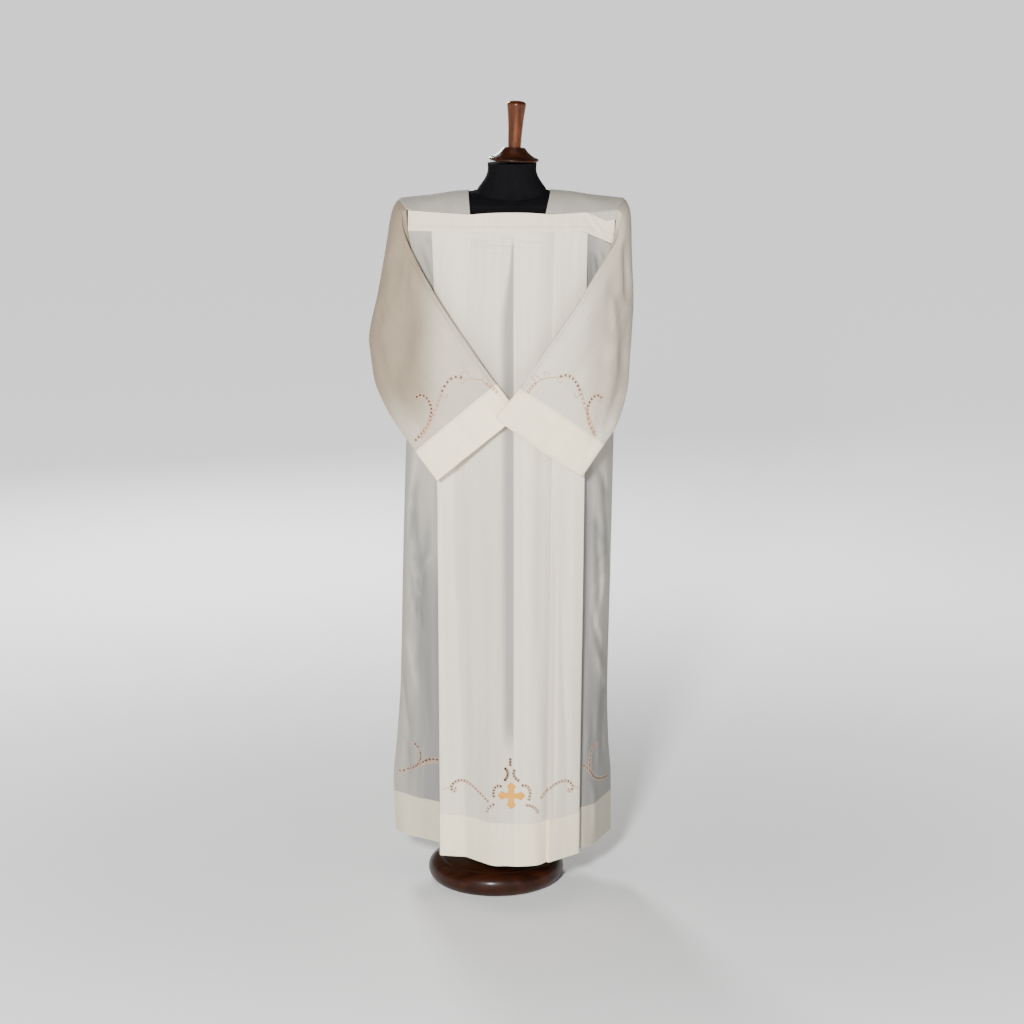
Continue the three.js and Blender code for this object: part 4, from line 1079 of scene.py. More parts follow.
BACK_SCROLLS = on_cloth(BACK_CENTRE, [
    ((-16, 268), (-44, 290), (-66, 292), (-86, 276), 9, 3.6),
    ((-86, 276), (-98, 264), (-96, 250), (-84, 250), 4, 3.4),
    ((16, 268), (44, 290), (66, 292), (86, 276), 9, 3.6),
    ((86, 276), (98, 264), (96, 250), (84, 250), 4, 3.4),
    ((-16, 268), (-10, 254), (-6, 244), (0, 232), 4, 3.4),
    ((16, 268), (10, 254), (6, 244), (0, 232), 4, 3.4),
    ((0, 318), (0, 310), (0, 302), (0, 296), 3, 3.8),
    ((-100, 262), (-110, 266), (-118, 262), (-126, 256), 0, 0),
    ((100, 262), (110, 266), (118, 262), (132, 256), 0, 0),
]) + on_cloth(BACK_LEFT, [
    ((-196, 312), (-176, 300), (-176, 272), (-206, 254), 9, 3.8),
    ((-206, 254), (-216, 249), (-224, 246), (-230, 244), 2, 3.2),
]) + on_cloth(BACK_RIGHT, [
    ((196, 312), (176, 300), (176, 272), (206, 254), 9, 3.8),
    ((206, 254), (216, 249), (224, 246), (230, 244), 2, 3.2),
])
LEFT_SLEEVE_SCROLLS = on_cloth(SLEEVE_LEFT, [
    ((-196, 1108), (-186, 1127), (-160, 1110), (-163, 1076), 8, 3.6),
    ((-163, 1076), (-166, 1052), (-184, 1032), (-198, 1016), 8, 3.4),
    ((-196, 1108), (-198, 1099), (-189, 1098), (-189, 1106), 0, 0),
    ((-186, 1022), (-166, 1052), (-152, 1090), (-142, 1122), 10, 2.6),
    ((-142, 1122), (-132, 1152), (-112, 1166), (-96, 1155), 6, 3.4),
    ((-96, 1155), (-90, 1147), (-98, 1141), (-103, 1149), 0, 0),
    ((-94, 1152), (-84, 1157), (-72, 1155), (-58, 1153), 0, 0),
    ((-58, 1153), (-50, 1141), (-38, 1147), (-46, 1153), 0, 0),
    ((-58, 1153), (-50, 1166), (-34, 1161), (-40, 1152), 0, 0),
    ((-50, 1147), (-40, 1138), (-30, 1136), (-24, 1124), 4, 2.4),
    ((-100, 1162), (-96, 1174), (-82, 1172), (-86, 1163), 0, 0),
    ((-140, 1118), (-132, 1108), (-124, 1116), (-131, 1121), 0, 0),
])
RIGHT_SLEEVE_SCROLLS = on_cloth(SLEEVE_RIGHT, [
    ((196, 1108), (186, 1125), (166, 1112), (165, 1084), 7, 3.6),
    ((165, 1084), (165, 1066), (172, 1050), (182, 1034), 5, 3.4),
    ((196, 1108), (198, 1099), (189, 1098), (189, 1106), 0, 0),
    ((184, 1028), (172, 1058), (160, 1098), (149, 1126), 10, 2.8),
    ((149, 1126), (140, 1156), (120, 1172), (104, 1159), 7, 3.6),
    ((104, 1159), (98, 1151), (106, 1144), (112, 1152), 0, 0),
    ((103, 1158), (90, 1162), (78, 1160), (66, 1156), 0, 0),
    ((66, 1156), (56, 1146), (46, 1152), (54, 1158), 0, 0),
    ((66, 1156), (56, 1170), (42, 1164), (50, 1155), 0, 0),
    ((58, 1150), (48, 1144), (42, 1138), (38, 1128), 4, 2.4),
    ((84, 1164), (80, 1176), (68, 1174), (73, 1165), 0, 0),
    ((149, 1122), (140, 1110), (132, 1118), (140, 1123), 0, 0),
])


def scroll_points(handles, count):
    t = np.linspace(0, 1, count)[:, None]
    a, b, c, d = np.array(handles, float)
    return (1 - t) ** 3 * a + 3 * (1 - t) ** 2 * t * b + 3 * (1 - t) * t * t * c + t**3 * d


def eyelet_places(handles, count):
    fine = scroll_points(handles, 120)
    reached = walked(fine)
    return along(fine, reached, (np.arange(count) + 0.5) / count * reached[-1])


def scroll_holes(scrolls):
    return [cloth.hole(x, z, size) for cloth, *handles, count, size in scrolls if count
            for x, z in eyelet_places(handles, count)]


BRIDGE = 1.15  # squared distance of two holes' centres, as a share of the sum of their radii


def cut_through(scrolls):
    """Holes that keep clear of each other, so that the cloth between them stays whole."""
    kept = []
    for i, j, ri, rj in scroll_holes(scrolls):
        if all(((i - a) / (ri + c)) ** 2 + ((j - b) / (rj + d)) ** 2 > BRIDGE for a, b, c, d in kept):
            kept.append((i, j, ri, rj))
    return kept


# %% [markdown]
# The stitches themselves are thin raised cords: one along each side of a row of eyelets, and a
# small ring round every eyelet. They are swept along the curves on the face of the cloth.

# %% Stitched lines
CORD_SIDES, ROW_CORD, SINGLE_CORD, RIM_CORD = 6, (1.3, 0.8), (1.7, 0.8), (0.9, 0.7)  # width, height


class Threads:
    """Collects the cords of one embroidery into one mesh."""
    def __init__(self):
        self.places, self.faces, self.uv = [], [], []

    def cord(self, path, normals, width, height, closed=False):
        path, normals = np.array(path), np.array(normals)
        ahead = unit(np.roll(path, -1, 0) - np.roll(path, 1, 0) if closed else np.gradient(path, axis=0))
        across = np.cross(normals, ahead)
        first, sides, count = len(self.places), CORD_SIDES, len(path)
        reached = np.append(walked(path), 0)
        reached[-1] = reached[-2] + 1.2
        for k, centre in enumerate(path):
            for side in range(sides):
                angle = 2 * math.pi * side / sides
                self.places.append(centre + across[k] * math.cos(angle) * width / 2
                                   + normals[k] * math.sin(angle) * height / 2)
        for k in range(count if closed else count - 1):
            ring, after = first + k * sides, first + (k + 1) % count * sides
            start, end = reached[k] * MM, reached[k + 1] * MM
            for side in range(sides):
                beside = (side + 1) % sides
                self.faces.append((ring + side, ring + beside, after + beside, after + side))
                low, high = side * width / 4 * MM, (side + 1) * width / 4 * MM
                self.uv += [(start, low), (start, high), (end, high), (end, low)]
        if not closed:
            last = first + (count - 1) * sides
            self.faces += [tuple(range(first + sides - 1, first - 1, -1)), tuple(range(last, last + sides))]
            self.uv += [(0, 0)] * (2 * sides)

    def object(self, name, material, slot):
        mesh = bpy.data.meshes.new(name)
        mesh.from_pydata((leaned(np.array(self.places)) * MM).tolist(), [], self.faces)
        mesh.uv_layers.new(name="cut").data.foreach_set("uv", np.array(self.uv, np.float32).ravel())
        face_outward(mesh)
        made = add_object(name, mesh, material)
        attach(made, "root")
        print(name, len(mesh.polygons), "faces")
        return made


SHADED_RIM_FROM = 3  # rims of larger eyelets are painted dark, a painted shade of the hole


def embroider(name, scrolls):
    threads, rims = Threads(), Threads()
    for cloth, *handles, count, size in scrolls:
        line = scroll_points(handles, 26)
        tangent = unit(np.gradient(line, axis=0))
        beside = np.stack([-tangent[:, 1], tangent[:, 0]], 1)
        for offset in ([size / 2 + 1.0, -size / 2 - 1.0] if count else [0.0]):
            found = [cloth.at(x, z, 0.15) for x, z in line + beside * offset]
            threads.cord(*zip(*found), *(ROW_CORD if count else SINGLE_CORD))
        for x, z in (eyelet_places(handles, count) if count else ()):
            centre, normal = cloth.at(x, z, 0.1)
            sideways = unit(np.cross(normal, (0, 0, 1.0)))
            upward = np.cross(sideways, normal)
            ring = [centre + (sideways * math.cos(a) + upward * math.sin(a)) * (size / 2 + 0.25)
                    for a in np.arange(HOLE_SIDES) * 2 * math.pi / HOLE_SIDES]
            # larger eyelets get the dark rim of painted shade
            (rims if size > SHADED_RIM_FROM else threads).cord(ring, [normal] * HOLE_SIDES, *RIM_CORD, closed=True)
    return (threads.object(name, TAN_THREAD, "tan_thread"),
            rims.object(name + "_rims", SHADED_RIM_THREAD, "tan_thread"))


hem_scrolls, hem_rims = embroider("hem_scrolls_front", HEM_SCROLLS)
back_scrolls, back_rims = embroider("hem_scrolls_back", BACK_SCROLLS)
left_scrolls, left_rims = embroider("sleeve_scrolls_left", LEFT_SLEEVE_SCROLLS)
right_scrolls, right_rims = embroider("sleeve_scrolls_right", RIGHT_SLEEVE_SCROLLS)


# %% [markdown]
# Hems and casings are closed with a straight line of machine stitching. A row of separate
# short stitches, each a small bead of thread, reads better close up than one long cord.

# %% Machine stitching
STITCH, STITCH_GAP, STITCH_CORD = 2.6, 0.9, (0.7, 0.45)


def machine_stitches(name, paths):
    threads = Threads()
    for path, normals in paths:
        reached = walked(path)
        for start in np.arange(STITCH_GAP, reached[-1] - STITCH, STITCH + STITCH_GAP):
            want = np.array([start, start + STITCH])
            threads.cord(along(path, reached, want), along(normals, reached, want), *STITCH_CORD)
    return threads.object(name, SHADED_SEWING_THREAD, "ivory_cloth")


def seam_row(points, normals, thickness, row):
    """A row of a cloth's grid, lifted onto its face."""
    return points[row] + normals[row] * (thickness[row] / 2 + 0.1)[:, None], normals[row]


HEM_STITCH_ROW = int(np.argmin(np.abs(PANEL_LEVELS - 187)))
hem_stitches = machine_stitches("hem_stitching", [
    seam_row(front_points, front_normals, front_thick, HEM_STITCH_ROW),
    seam_row(back_points, back_normals, back_thick, HEM_STITCH_ROW)])

# %% [markdown]
# Now the panels can be made, with the eyelets punched. The marks say how doubled the cloth is
# and how much of the dark hollow shows through it, most at the sides, where it lies single; the
# same mark also paints shade in creases and shadow beside the pleats.

# %% Front and back panel
DOUBLED = 0.78  # how creamy the turned-up hem looks


def back_marks():
    x, z = back_points[..., 0], back_points[..., 2]
    sides = smooth((np.abs(x - 3) - 128) / 40)
    # the sides lie single over the hollow and look grey; painted shade darkens their creases
    return {"double": DOUBLED * (z < HEM_TOP),
            "thin": sides * (0.74 + 0.03 * crease_depth(x, z, BACK_CREASES))}


def front_marks():
    """The centre pleat shows as a grey band, soft on its left and ending sharply at its right fold: partly
    the hollow seen through, partly painted shade in the pleat.
    """
    x, z = front_points[..., 0], front_points[..., 2]
    columns = np.arange(x.shape[1])[None] * np.ones(x.shape)
    left_edge, left_crease, ridge, right_crease, right_fold, right_edge = (
        front_starts[k] for k in (5, 7, 10, 11, 13, 15))
    centre = (columns >= left_edge) & (columns <= right_edge)
    pleat = (columns >= left_crease) & (columns < ridge)

    # the grey band, see-through and painted shade, which widens from the neck band down and fades above the
    # hem
    width = mix(6, 31, smooth((1444 - z) / 200))
    near = smooth((x - x[:, ridge, None] + 1.25 * width) / (0.8 * width)) * (columns > left_crease) * pleat
    fading = smooth((z - 300) / 120) * smooth((1458 - z) / 40)

    # the cloth between two creases is a little greyer than beside them, and painted shade darkens it towards
    # the crisp right fold
    greyer = 0.24 * smooth((columns - left_crease) / 1.5) * pleat * (0.4 + 0.6 * smooth((1330 - z) / 220))
    towards_fold = smooth((columns - right_crease) / (right_fold - right_crease))
    greyer = greyer + 0.32 * towards_fold * (columns < right_fold)

    # the sides lie single over the hollow and look grey; painted shadow darkens them beside the pleats and
    # lower down, most on the right, and painted shade darkens their creases
    right = smooth((198 - x) / 30) * (columns > right_edge) * (0.22 + 0.36 * smooth((640 - z) / 300))
    left = smooth((x + 215) / 60) * (columns < left_edge) * 0.42 * smooth((860 - z) / 300)
    low_right = smooth((x - 150) / 30) * smooth((640 - z) / 280)
    sides = 0.72 + right + left + 0.30 * low_right + 0.018 * crease_depth(x, z, FRONT_CREASES)
    hem = np.where(centre, np.where(pleat, 0.84, 1.0), np.where(x < 0, 0.62, 0.38))
    return {"double": DOUBLED * (z < HEM_TOP) * hem,
            "thin": np.where(centre, np.maximum(0.84 * near * fading, greyer), sides)}


front_panel = cloth_object("front_panel_cloth", leaned(front_points), front_normals, front_thick,
                           front_marks(), holes=cut_through(HEM_SCROLLS))
back_panel = cloth_object("back_panel_cloth", leaned(back_points), back_normals, back_thick,
                          back_marks(), holes=cut_through(BACK_SCROLLS))

# %% [markdown]
# The sleeves are made the same way, as closed tubes. Their deep cuffs are double cloth with a
# row of stitches at the top, and their eyelets are punched through the outer layer only.

# %% Sleeves
def sleeve_marks(points, normals, side):
    """Near the cuff the layers lie together and look creamier. Elsewhere the cloth is painted greyer where it
    turns away from the front, most towards the shoulder, and painted with warm shade on its outer part; the
    left sleeve gets warm shade all over.
    """
    double = (SLEEVE_SHARES > CUFF_START)[:, None] * np.ones(points.shape[:2])
    # painted shade: greyer where the sleeve turns away from the front lamp, more so towards the shoulder
    turned = smooth((normals[..., 1] + 0.97) / 0.5)
    towards_shoulder = smooth((0.85 - SLEEVE_SHARES) / 0.7)[:, None]
    # painted warm shade on each sleeve's outer part, and some over the whole left sleeve
    outer = smooth((side * points[..., 0] - 125) / 78) * smooth((points[..., 2] - 1005) / 125)
    least_thin, least_shade, more_shade = (0.04, 0.44, 0.56) if side < 0 else (0.10, 0.06, 0.46)
    thin = least_thin + 0.42 * turned * (0.45 + 0.55 * towards_shoulder)
    return {"double": double, "thin": thin * (1 - double),
            "shade": (least_shade + more_shade * outer) * (1 - double)}


def make_sleeve(name, surface, scrolls, side):
    points, normals, thickness, _ = surface
    return cloth_object(name, leaned(points), normals, thickness, sleeve_marks(points, normals, side),
                        around=True, holes=cut_through(scrolls))


sleeve_left = make_sleeve("sleeve_left_cloth", left_sleeve, LEFT_SLEEVE_SCROLLS, -1)
sleeve_right = make_sleeve("sleeve_right_cloth", right_sleeve, RIGHT_SLEEVE_SCROLLS, 1)


CUFF_STITCHED = 0.892  # the share of the arm at which the cuff's top is sewn


def cuff_stitching(name, surface):
    row = seam_row(*surface[:3], int(np.argmin(np.abs(SLEEVE_SHARES - CUFF_STITCHED))))
    return machine_stitches(name, [[np.concatenate([line, line[:1]]) for line in row]])


cuff_stitches_left = cuff_stitching("cuff_stitching_left", left_sleeve)
cuff_stitches_right = cuff_stitching("cuff_stitching_right", right_sleeve)


# %% [markdown]
# The neck bands are straight strips of double cloth with a drawstring casing: a line of
# stitching runs above their lower edge. The front band's right end is folded under, so its
# edge drops there.

# %% Bands
BAND_ROWS, BAND_COLUMNS, CASING_ROW = 17, 181, 11


def band_surface(face, reach, bottom, creases):
    x = np.linspace(-10 * BAND_STEP, 10 * BAND_STEP, BAND_COLUMNS)
    shares = np.linspace(0, 1, BAND_ROWS)[:, None]
    z = mix(band_top(x, reach) - SEAM, bottom(x), shares)
    edge = np.where(x < 0, -side_x(-1, z), side_x(1, z))
    y = face * (band_y(x, reach) + BAND_LEAN * shares)
    points = np.stack([np.sign(x) * np.minimum(np.abs(x), edge), y, z], 2)
    above = z - bottom(x)
    casing = 1.3 * np.exp(-((above - 12.5) / 1.6) ** 2) - 0.5 * np.exp(-((above - 6) / 4.5) ** 2)
    depth = crease_depth(points[..., 0], z, creases) * smooth(shares / 0.15) * smooth((1 - shares) / 0.1)
    points[..., 1] -= face * (casing + depth) * smooth((200 - np.abs(x)) / 20)
    normals = grid_normals(points, outward=np.array([0, face, 0]))
    for column in (0, -1):
        normals[:, column, 0] = 0
        normals[:, column] = unit(normals[:, column])
    return points, normals


BAND_CREASES = [
    (-120, 1486, -116, 1458, 5, 1.4), (-66, 1484, -62, 1460, 4, 1.2), (-30, 1480, -36, 1458, 4, -1.0),
    (20, 1484, 24, 1460, 4, 1.1), (70, 1484, 66, 1458, 5, 1.2), (118, 1478, 122, 1456, 4, -1.0),
    (-180, 1470, -150, 1466, 5, 1.0), (-90, 1474, -20, 1472, 3, 0.7), (30, 1474, 110, 1470, 3, 0.8),
    (150, 1490, 186, 1446, 3.6, 3.4), (160, 1490, 200, 1444, 4, -2.6), (172, 1480, 214, 1440, 4, 1.8),
]
bands, casing_lines = {}, []
for name, face, reach, bottom, creases in (("front", -1, BAND_REACH, front_bottom, BAND_CREASES),
                                           ("back", 1, BACK_REACH, back_bottom, BAND_CREASES[:6])):
    points, normals = band_surface(face, reach, bottom, creases)
    even = np.ones(points.shape[:2])
    # the bands are also tinted a little warmer and darker all over with the painted shade mark
    bands[name] = cloth_object(f"{name}_band_cloth", leaned(points), normals, DOUBLE_CLOTH * even,
                               {"double": 0.5 * even, "shade": 0.26 * even})
    casing_lines.append(seam_row(points, normals, DOUBLE_CLOTH * even, CASING_ROW))
band_stitches = machine_stitches("band_stitching", casing_lines)

# %% [markdown]
# A yoke is the flat piece on each shoulder, sewn to both bands and to the sleeve's head. Its
# seam allowance lies under its outer edge and lifts it in a narrow ridge. The right yoke's
# front edge also hangs a little over the band's end, as a lip.

# %% Yokes
YOKE_CREASES = [
    (100, 1530, 220, 1505, 9, 1.0), (110, 1512, 200, 1500, 8, -0.8), (-100, 1528, -210, 1508, 9, 1.0),
    (-120, 1508, -190, 1500, 8, -0.7), (140, 1524, 180, 1498, 7, 0.8), (-150, 1526, -180, 1500, 7, 0.8),
]
LIP_START, LIP_LENGTH, LIP_GAP = 148, 21, 1.0


def yoke_surface(side):
    t = np.linspace(-1, 1, 61)[:, None]
    across = np.linspace(0, 1, 41)[None]
    neck_shift = 4.5 if side < 0 else -5 - 6 * np.minimum(t, 0) ** 2
    x = mix(NECK_HALF + NECK_EASE * (1 - t * t) + neck_shift, yoke_outer_x(t), across)
    y = t * np.where(t < 0, band_y(x, BAND_REACH), band_y(x, BACK_REACH))
    z = shoulder_height(x, y)
    inside = smooth((1 - np.abs(t)) / 0.12) * smooth(across / 0.1) * smooth((1 - across) / 0.1)
    wave = 0.7 * np.sin(x / 16 + y / 21) * inside + crease_depth(side * x, z, YOKE_CREASES) * inside * 0.8
    wave = wave + 1.2 * np.exp(-(((1 - across) * (yoke_outer_x(t) - NECK_HALF) - 6) / 2.8) ** 2)
    points = np.stack([side * x, y, z + np.maximum(wave, -0.25)], 2)
    normals = grid_normals(points, outward=np.array([0, 0, 1]))
    points = points + normals * (SEAM + CLOTH / 2)
    if side < 0:
        return points, normals
    share = np.linspace(1, 0, 9)[:-1, None]
    edge = points[0]
    length = 0.4 + LIP_LENGTH * smooth((edge[:, 0] - LIP_START) / 58) * (1 + 0.04 * np.sin(edge[:, 0] / 5))
    out = (DOUBLE_CLOTH + CLOTH) / 2 + LIP_GAP
    round_off = np.minimum(1, share * length / 2.4)
    lip = np.stack([edge[:, 0] + 0 * share, edge[:, 1] - out * round_off - 0.04 * share * length,
                    edge[:, 2] - share * length], 2)
    points = np.concatenate([lip, points])
    return points, grid_normals(points, outward=np.array([0, -0.2, 1]))


yokes = {}
for side, word in ((-1, "left"), (1, "right")):
    points, normals = yoke_surface(side)
    even = np.ones(points.shape[:2])
    # painted a little grey all over: single cloth over the dark form, and painted shade on their upward faces
    yokes[word] = cloth_object(f"yoke_{word}_cloth", leaned(points), normals, CLOTH * even,
                               {"double": 0 * even, "thin": 0.6 * even})

# %% [markdown]
# The cross is worked in padded satin stitch. Its flared outline is filled with small
# triangles, laid on the cloth, and raised towards the middle of each arm.

# %% Cross
CROSS_X, CROSS_Z, CROSS_REACH, CROSS_NECK, CROSS_FLARE, CROSS_RISE = 17, 251, 29.5, 6, 10, 1.5
CROSS_CELL = 1.5  # spacing of the points inside it


def cross_outline():
    """One half of an arm, mirrored and then turned four times."""
    half = [(CROSS_NECK, 0.48 * CROSS_REACH), (0.9 * CROSS_FLARE, 0.66 * CROSS_REACH),
            (CROSS_FLARE, 0.76 * CROSS_REACH), (0.95 * CROSS_NECK, 0.82 * CROSS_REACH),
            (0.7 * CROSS_NECK, 0.9 * CROSS_REACH)]
    arm = [(CROSS_NECK, CROSS_NECK), *half, (0, CROSS_REACH), *((-u, v) for u, v in reversed(half))]
    return [(u * math.cos(a) - v * math.sin(a), u * math.sin(a) + v * math.cos(a))
            for a in (k * math.pi / 2 for k in range(4)) for u, v in arm]


def make_cross():
    outline, rim = cross_outline(), []
    for p, q in zip(outline, outline[1:] + outline[:1]):
        n = max(1, round(math.dist(p, q) / 1.4))
        rim += [(mix(p[0], q[0], k / n), mix(p[1], q[1], k / n)) for k in range(n)]
    from_here, step = np.array(rim), np.roll(rim, -1, 0) - np.array(rim)

    def to_edge(u, v):
        """Distance from a point to the outline."""
        away = (u, v) - from_here
        t = np.clip((away * step).sum(1) / (step**2).sum(1), 0, 1)
        return float(np.hypot(*(step * t[:, None] - away).T).min())

    grid = np.arange(-CROSS_REACH, CROSS_REACH, CROSS_CELL)
    inside = [(u, v) for u in grid for v in grid if to_edge(u, v) > 0.6]
    points = [Vector(p) for p in rim + inside]
    edges = [(k, (k + 1) % len(rim)) for k in range(len(rim))]
    out, _, triangles, _, _, _ = delaunay_2d_cdt(points, edges, [], 1, 1e-6)
    lower, upper, uv = [], [], []
    for u, v in out:
        place, normal = FRONT_CENTRE.at(CROSS_X + u, CROSS_Z + v)
        lower.append(place + normal * 0.3)
        upper.append(place + normal * (0.55 + CROSS_RISE * (1 - math.exp(-to_edge(u, v) / 1.6))))
        uv.append((v * MM, u * MM) if abs(v) > abs(u) else (u * MM, v * MM))
    count = len(out)
    faces = [tuple(t) for t in triangles] + [tuple(k + count for k in reversed(t)) for t in triangles]
    faces += [(q, p, p + count, q + count) for p, q in open_edges(triangles)]
    mesh = bpy.data.meshes.new("hem_cross_stitched")
    mesh.from_pydata((leaned(np.array(upper + lower)) * MM).tolist(), [], faces)
    layer = mesh.uv_layers.new(name="cut")
    for loop in mesh.loops:
        layer.data[loop.index].uv = uv[loop.vertex_index % count]
    face_outward(mesh)
    made = add_object("hem_cross_stitched", mesh, GOLD_THREAD)
    sharp_rims(made, 60)
    print("cross", len(mesh.polygons), "faces")
    return made


cross = make_cross()

# %% [markdown]
# The dress form is a padded torso without arms, wider at the shoulders than at the waist. Its
# rings are the solid's own, joined by a smooth curve from ring to ring, so that the jersey
# shows no facets at the neck.

# %% Dress form
FORM_BOTTOM, NECK_TOP, FORM_POINTS, FORM_SQUARENESS, FORM_REST = 862, 1592, 96, 2.25, 0.45
FORM_STEPS, FORM_SHOULDERS, NECK_FOOT, FORM_AROUND = 5, range(8, 13), 72, 0.78
FORM_RINGS = [
    # half width, half depth, height (None: on the shoulder surface)
    (90, 60, FORM_BOTTOM), (128, 76, 868), (146, 84, 900), (152, 86, 990), (138, 80, 1110), (146, 83, 1210),
    (165, 88, 1310), (180, 84, 1400), (190, 78, 1455), (200, 75, None), (160, 69, None), (112, 63, None),
    (78, 58, None), (60, 54, 1556), (52, 52, 1574), (52, 52, NECK_TOP)]


def form_surface():
    angle = 2 * np.pi * np.arange(FORM_POINTS) / FORM_POINTS
    rings = []
    for a, b, z in FORM_RINGS:
        x, y = a * bent(np.cos(angle), FORM_SQUARENESS), b * bent(np.sin(angle), FORM_SQUARENESS)
        rings.append(np.stack([x, y, shoulder_height(x, y) - FORM_REST if z is None else z + 0 * x], 1))
    rows = []
    for k in range(len(rings) - 1):
        before, after = rings[max(k - 1, 0)], rings[min(k + 2, len(rings) - 1)]
        pull = 0.35 if k in FORM_SHOULDERS else 0.5
        rows += [hermite(rings[k], rings[k + 1], (rings[k + 1] - before) * pull, (after - rings[k]) * pull, t)
                 for t in np.arange(FORM_STEPS) / FORM_STEPS]
    points = np.array([*rows, rings[-1]])
    x, y, z = np.moveaxis(points, 2, 0)
    roof = shoulder_height(x, y) - FORM_REST
    points[..., 2] = np.where((z > roof) & (np.hypot(x, y) > NECK_FOOT), roof, z)
    return points


def make_form():
    points = leaned(form_surface()) * MM
    rows, n = len(points), FORM_POINTS
    places = [*points.reshape(-1, 3).tolist(), points[0].mean(0).tolist(), points[-1].mean(0).tolist()]
    faces, top = [], (rows - 1) * n
    for i in range(rows - 1):
        faces += [(i * n + j, i * n + (j + 1) % n, (i + 1) * n + (j + 1) % n, (i + 1) * n + j)
                  for j in range(n)]
    for j in range(n):
        faces += [(rows * n, (j + 1) % n, j), (rows * n + 1, top + j, top + (j + 1) % n)]
    mesh = bpy.data.meshes.new("form_jersey")
    mesh.from_pydata(places, [], faces)
    layer = mesh.uv_layers.new(name="cut")
    for polygon in mesh.polygons:
        columns = [k % n for k in polygon.vertices]
        wraps = max(columns) - min(columns) > n // 2
        for loop, vertex, column in zip(polygon.loop_indices, polygon.vertices, columns):
            turn = column + n if wraps and column < n // 2 else column
            layer.data[loop].uv = (turn / n * FORM_AROUND, places[vertex][2])
    made = add_object("form_jersey", mesh, JERSEY)
    sharp_rims(made, 40)
    return made


form = make_form()
print("form", len(form.data.polygons), "faces")

# %% [markdown]
# The stand's parts are turned on a lathe. Each starts as a flat disc that is extruded upwards
# and resized again and again, as the outline says. Close rows keep a moulding crisp.


# %% Turned wood
def rounded_outline(rows, steps=4):
    """A smooth outline through the rows; a row with a third value stays a corner."""
    out = []
    for k in range(len(rows) - 1):
        p, q = np.array(rows[k][:2], float), np.array(rows[k + 1][:2], float)
        before = p if len(rows[k]) > 2 else np.array(rows[max(k - 1, 0)][:2], float)
        after = q if len(rows[k + 1]) > 2 else np.array(rows[min(k + 2, len(rows) - 1)][:2], float)
        out += [tuple(hermite(p, q, (q - before) / 2, (after - p) / 2, t)) for t in np.arange(steps) / steps]
    return out + [tuple(rows[-1][:2])]


def turned_piece(name, rows, material, node, place=(0, 0, 0), tilt=0.0, sides=96):
    outline = rounded_outline(rows)
    bpy.ops.object.select_all(action="DESELECT")
    radius, height = outline[0]
    bpy.ops.mesh.primitive_circle_add(vertices=sides, radius=radius * MM, fill_type="NGON",
                                      location=(0, 0, height * MM))
    made = bpy.context.active_object
    made.name = made.data.name = name
    bpy.ops.object.mode_set(mode="EDIT")
    bpy.ops.mesh.select_all(action="SELECT")
    for (r0, z0), (r1, z1) in zip(outline, outline[1:]):
        bpy.ops.mesh.extrude_region_move(TRANSFORM_OT_translate={"value": (0, 0, (z1 - z0) * MM)})
        bpy.ops.transform.resize(value=(r1 / r0, r1 / r0, 1), center_override=(0, 0, z1 * MM))
    bpy.ops.mesh.select_all(action="SELECT")
    bpy.ops.mesh.normals_make_consistent(inside=False)
    bpy.ops.object.mode_set(mode="OBJECT")
    made.rotation_euler = (0, tilt, 0)
    made.location = [value * MM for value in place]
    bpy.ops.object.transform_apply(location=True, rotation=True, scale=True)
    made.data.materials.append(material)
    sharp_rims(made, 32)
    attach(made, "root")
    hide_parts(node)
    print(name, len(made.data.polygons), "faces")


BASE_TOP = 58
BASE_OUTLINE = [(124, 0, 1), (130, 0.1, 1), (141, 3), (149, 14), (151, 26), (147, 38), (137, 47), (125, 50.4),
                (121.5, 49.2, 1), (119.5, 48.0, 1), (117, 49.0, 1), (104, 51.6), (82, 54.6), (52, 57),
                (30, BASE_TOP, 1), (6, BASE_TOP)]
POLE_OUTLINE = [(29, 0, 1), (31, 6), (29, 12), (22, 20), (18, 32), (17, 50), (17, 300), (17, 802, 1)]
CAP_OUTLINE = [(46, 0, 1), (47, 0.1, 1), (52, 2), (53, 5), (50, 8), (44.5, 9.4, 1), (43, 10.4, 1), (36, 15),
               (30, 20), (25, 26), (22, 29, 1), (4, 29)]
FINIAL_OUTLINE = [(13.5, 0, 1), (14, 10), (15, 35), (17, 62), (19, 80), (20, 88), (19, 93), (14, 96), (7, 97),
                  (1.5, 97.2)]
POLE_LEAN, CAP_LEAN = math.atan2(centre_x(FORM_BOTTOM), FORM_BOTTOM - BASE_TOP), math.radians(3)
turned_piece("stand_base_turned", BASE_OUTLINE, WALNUT, "stand_base", sides=128)
turned_piece("stand_pole_turned", POLE_OUTLINE, WALNUT, "stand_pole", (0, 0, BASE_TOP + 1.2),
             POLE_LEAN, 48)
turned_piece("neck_cap_turned", CAP_OUTLINE, WALNUT, "neck_cap",
             (39.5, 0, NECK_TOP + 3.2), CAP_LEAN)
turned_piece("neck_finial_turned", FINIAL_OUTLINE, AMBER_WOOD, "neck_finial",
             (41.1, 0, NECK_TOP + 32.5), CAP_LEAN, 64)

# %% [markdown]
# Each finished piece is tied to the body it moves with, and the solid it stands for is hidden. A
# table gives how each piece of cloth was cut, without what is turned up, and the script prints
# the area each piece shows beside its cut. The cuts were worked out from the pieces' own lengths:
# width along the weft, then length along the warp.

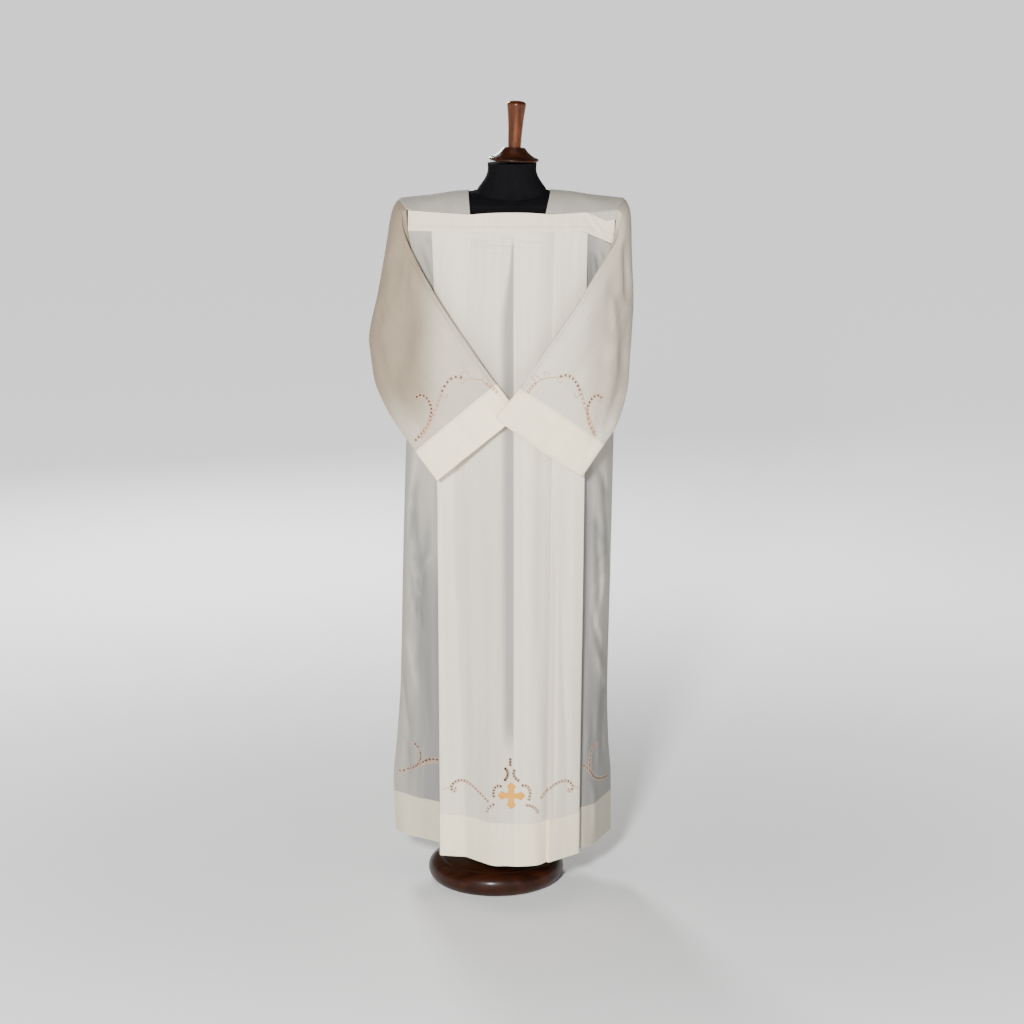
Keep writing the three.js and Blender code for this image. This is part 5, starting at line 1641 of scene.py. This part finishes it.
# %% Tie the pieces to the frame
for piece, node, slot in (
        (front_panel, "front_panel", "ivory_cloth"), (back_panel, "back_panel", "ivory_cloth"),
        (sleeve_left, "sleeve_left", "ivory_cloth"), (sleeve_right, "sleeve_right", "ivory_cloth"),
        (bands["front"], "front_band", "ivory_cloth"), (bands["back"], "back_band", "ivory_cloth"),
        (yokes["left"], "yoke_left", "ivory_cloth"), (yokes["right"], "yoke_right", "ivory_cloth"),
        (cross, "hem_cross", "gold_thread"), (form, "form_body", "black_jersey")):
    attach(piece, "root")
    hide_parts(node)


def half_surface(piece):
    return sum(polygon.area for polygon in piece.data.polygons) / 2


CUTS = [
    # piece, width and length of the flat cut (m), rests on, pieces on it
    (front_panel, (0.88, 1.36), ["front_band"], [hem_scrolls, hem_rims, hem_stitches, cross]),
    (back_panel, (0.74, 1.36), ["back_band"], [back_scrolls, back_rims]),
    (sleeve_left, (0.50, 0.52), ["yoke_left", "front_panel"], [left_scrolls, left_rims, cuff_stitches_left]),
    (sleeve_right, (0.50, 0.50), ["yoke_right", "sleeve_left"],
     [right_scrolls, right_rims, cuff_stitches_right]),
    (bands["front"], (0.46, 0.045), ["form_body"], [band_stitches]),
    (bands["back"], (0.46, 0.045), ["form_body"], []),
    (yokes["left"], (0.16, 0.20), ["form_body"], []),
    (yokes["right"], (0.16, 0.20), ["form_body"], []),
]
for word, points in (("front", front_points), ("back", back_points)):
    wide, long = (round(float(walked(line)[-1])) for line in (points[-1], points[:, points.shape[1] // 2]))
    print(word, "is", wide, "mm wide along its hem and", long, "mm long down its middle")
for piece, flat, rests, extras in CUTS:
    print(piece.name, "shows", round(half_surface(piece), 4), "m2 for a cut of", round(flat[0] * flat[1], 4))
    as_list(rests)
    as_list(extras)

# %% [markdown]
# The floor is pale, with a faint unevenness. Away from the stand it glows a little, a painted glow
# that also lights the scene; near the stand it has no glow, so it keeps the soft shadow.

# %% Floor
bpy.ops.object.select_all(action="DESELECT")
FLOOR_SIZE, GLOW_STARTS, GLOW_FULL, GLOW = 400, 0.3, 3.2, 1.1
bpy.ops.mesh.primitive_plane_add(size=FLOOR_SIZE, location=(0, 0, 0))
floor = bpy.context.active_object
floor.name = "floor"
pale = Finish("pale_floor", 0.9, specular_ior_level=0.1, emission_strength=GLOW)
spot = pale.place("Object")
pale.colour(pale.blend(pale.noise(spot, 3.0), rgb(0.93, 0.93, 0.93), rgb(0.95, 0.95, 0.95)))
# painted light: the floor glows more the farther it lies from the stand
away = pale.node("ShaderNodeVectorMath", {"operation": "LENGTH"}, {0: spot}, out=1)
glow = pale.blend(away.within(GLOW_STARTS, GLOW_FULL), rgb(0, 0, 0), rgb(1, 1, 1))
pale.feed(pale.shader.inputs["Emission Color"], glow)
floor.data.materials.append(pale.material)
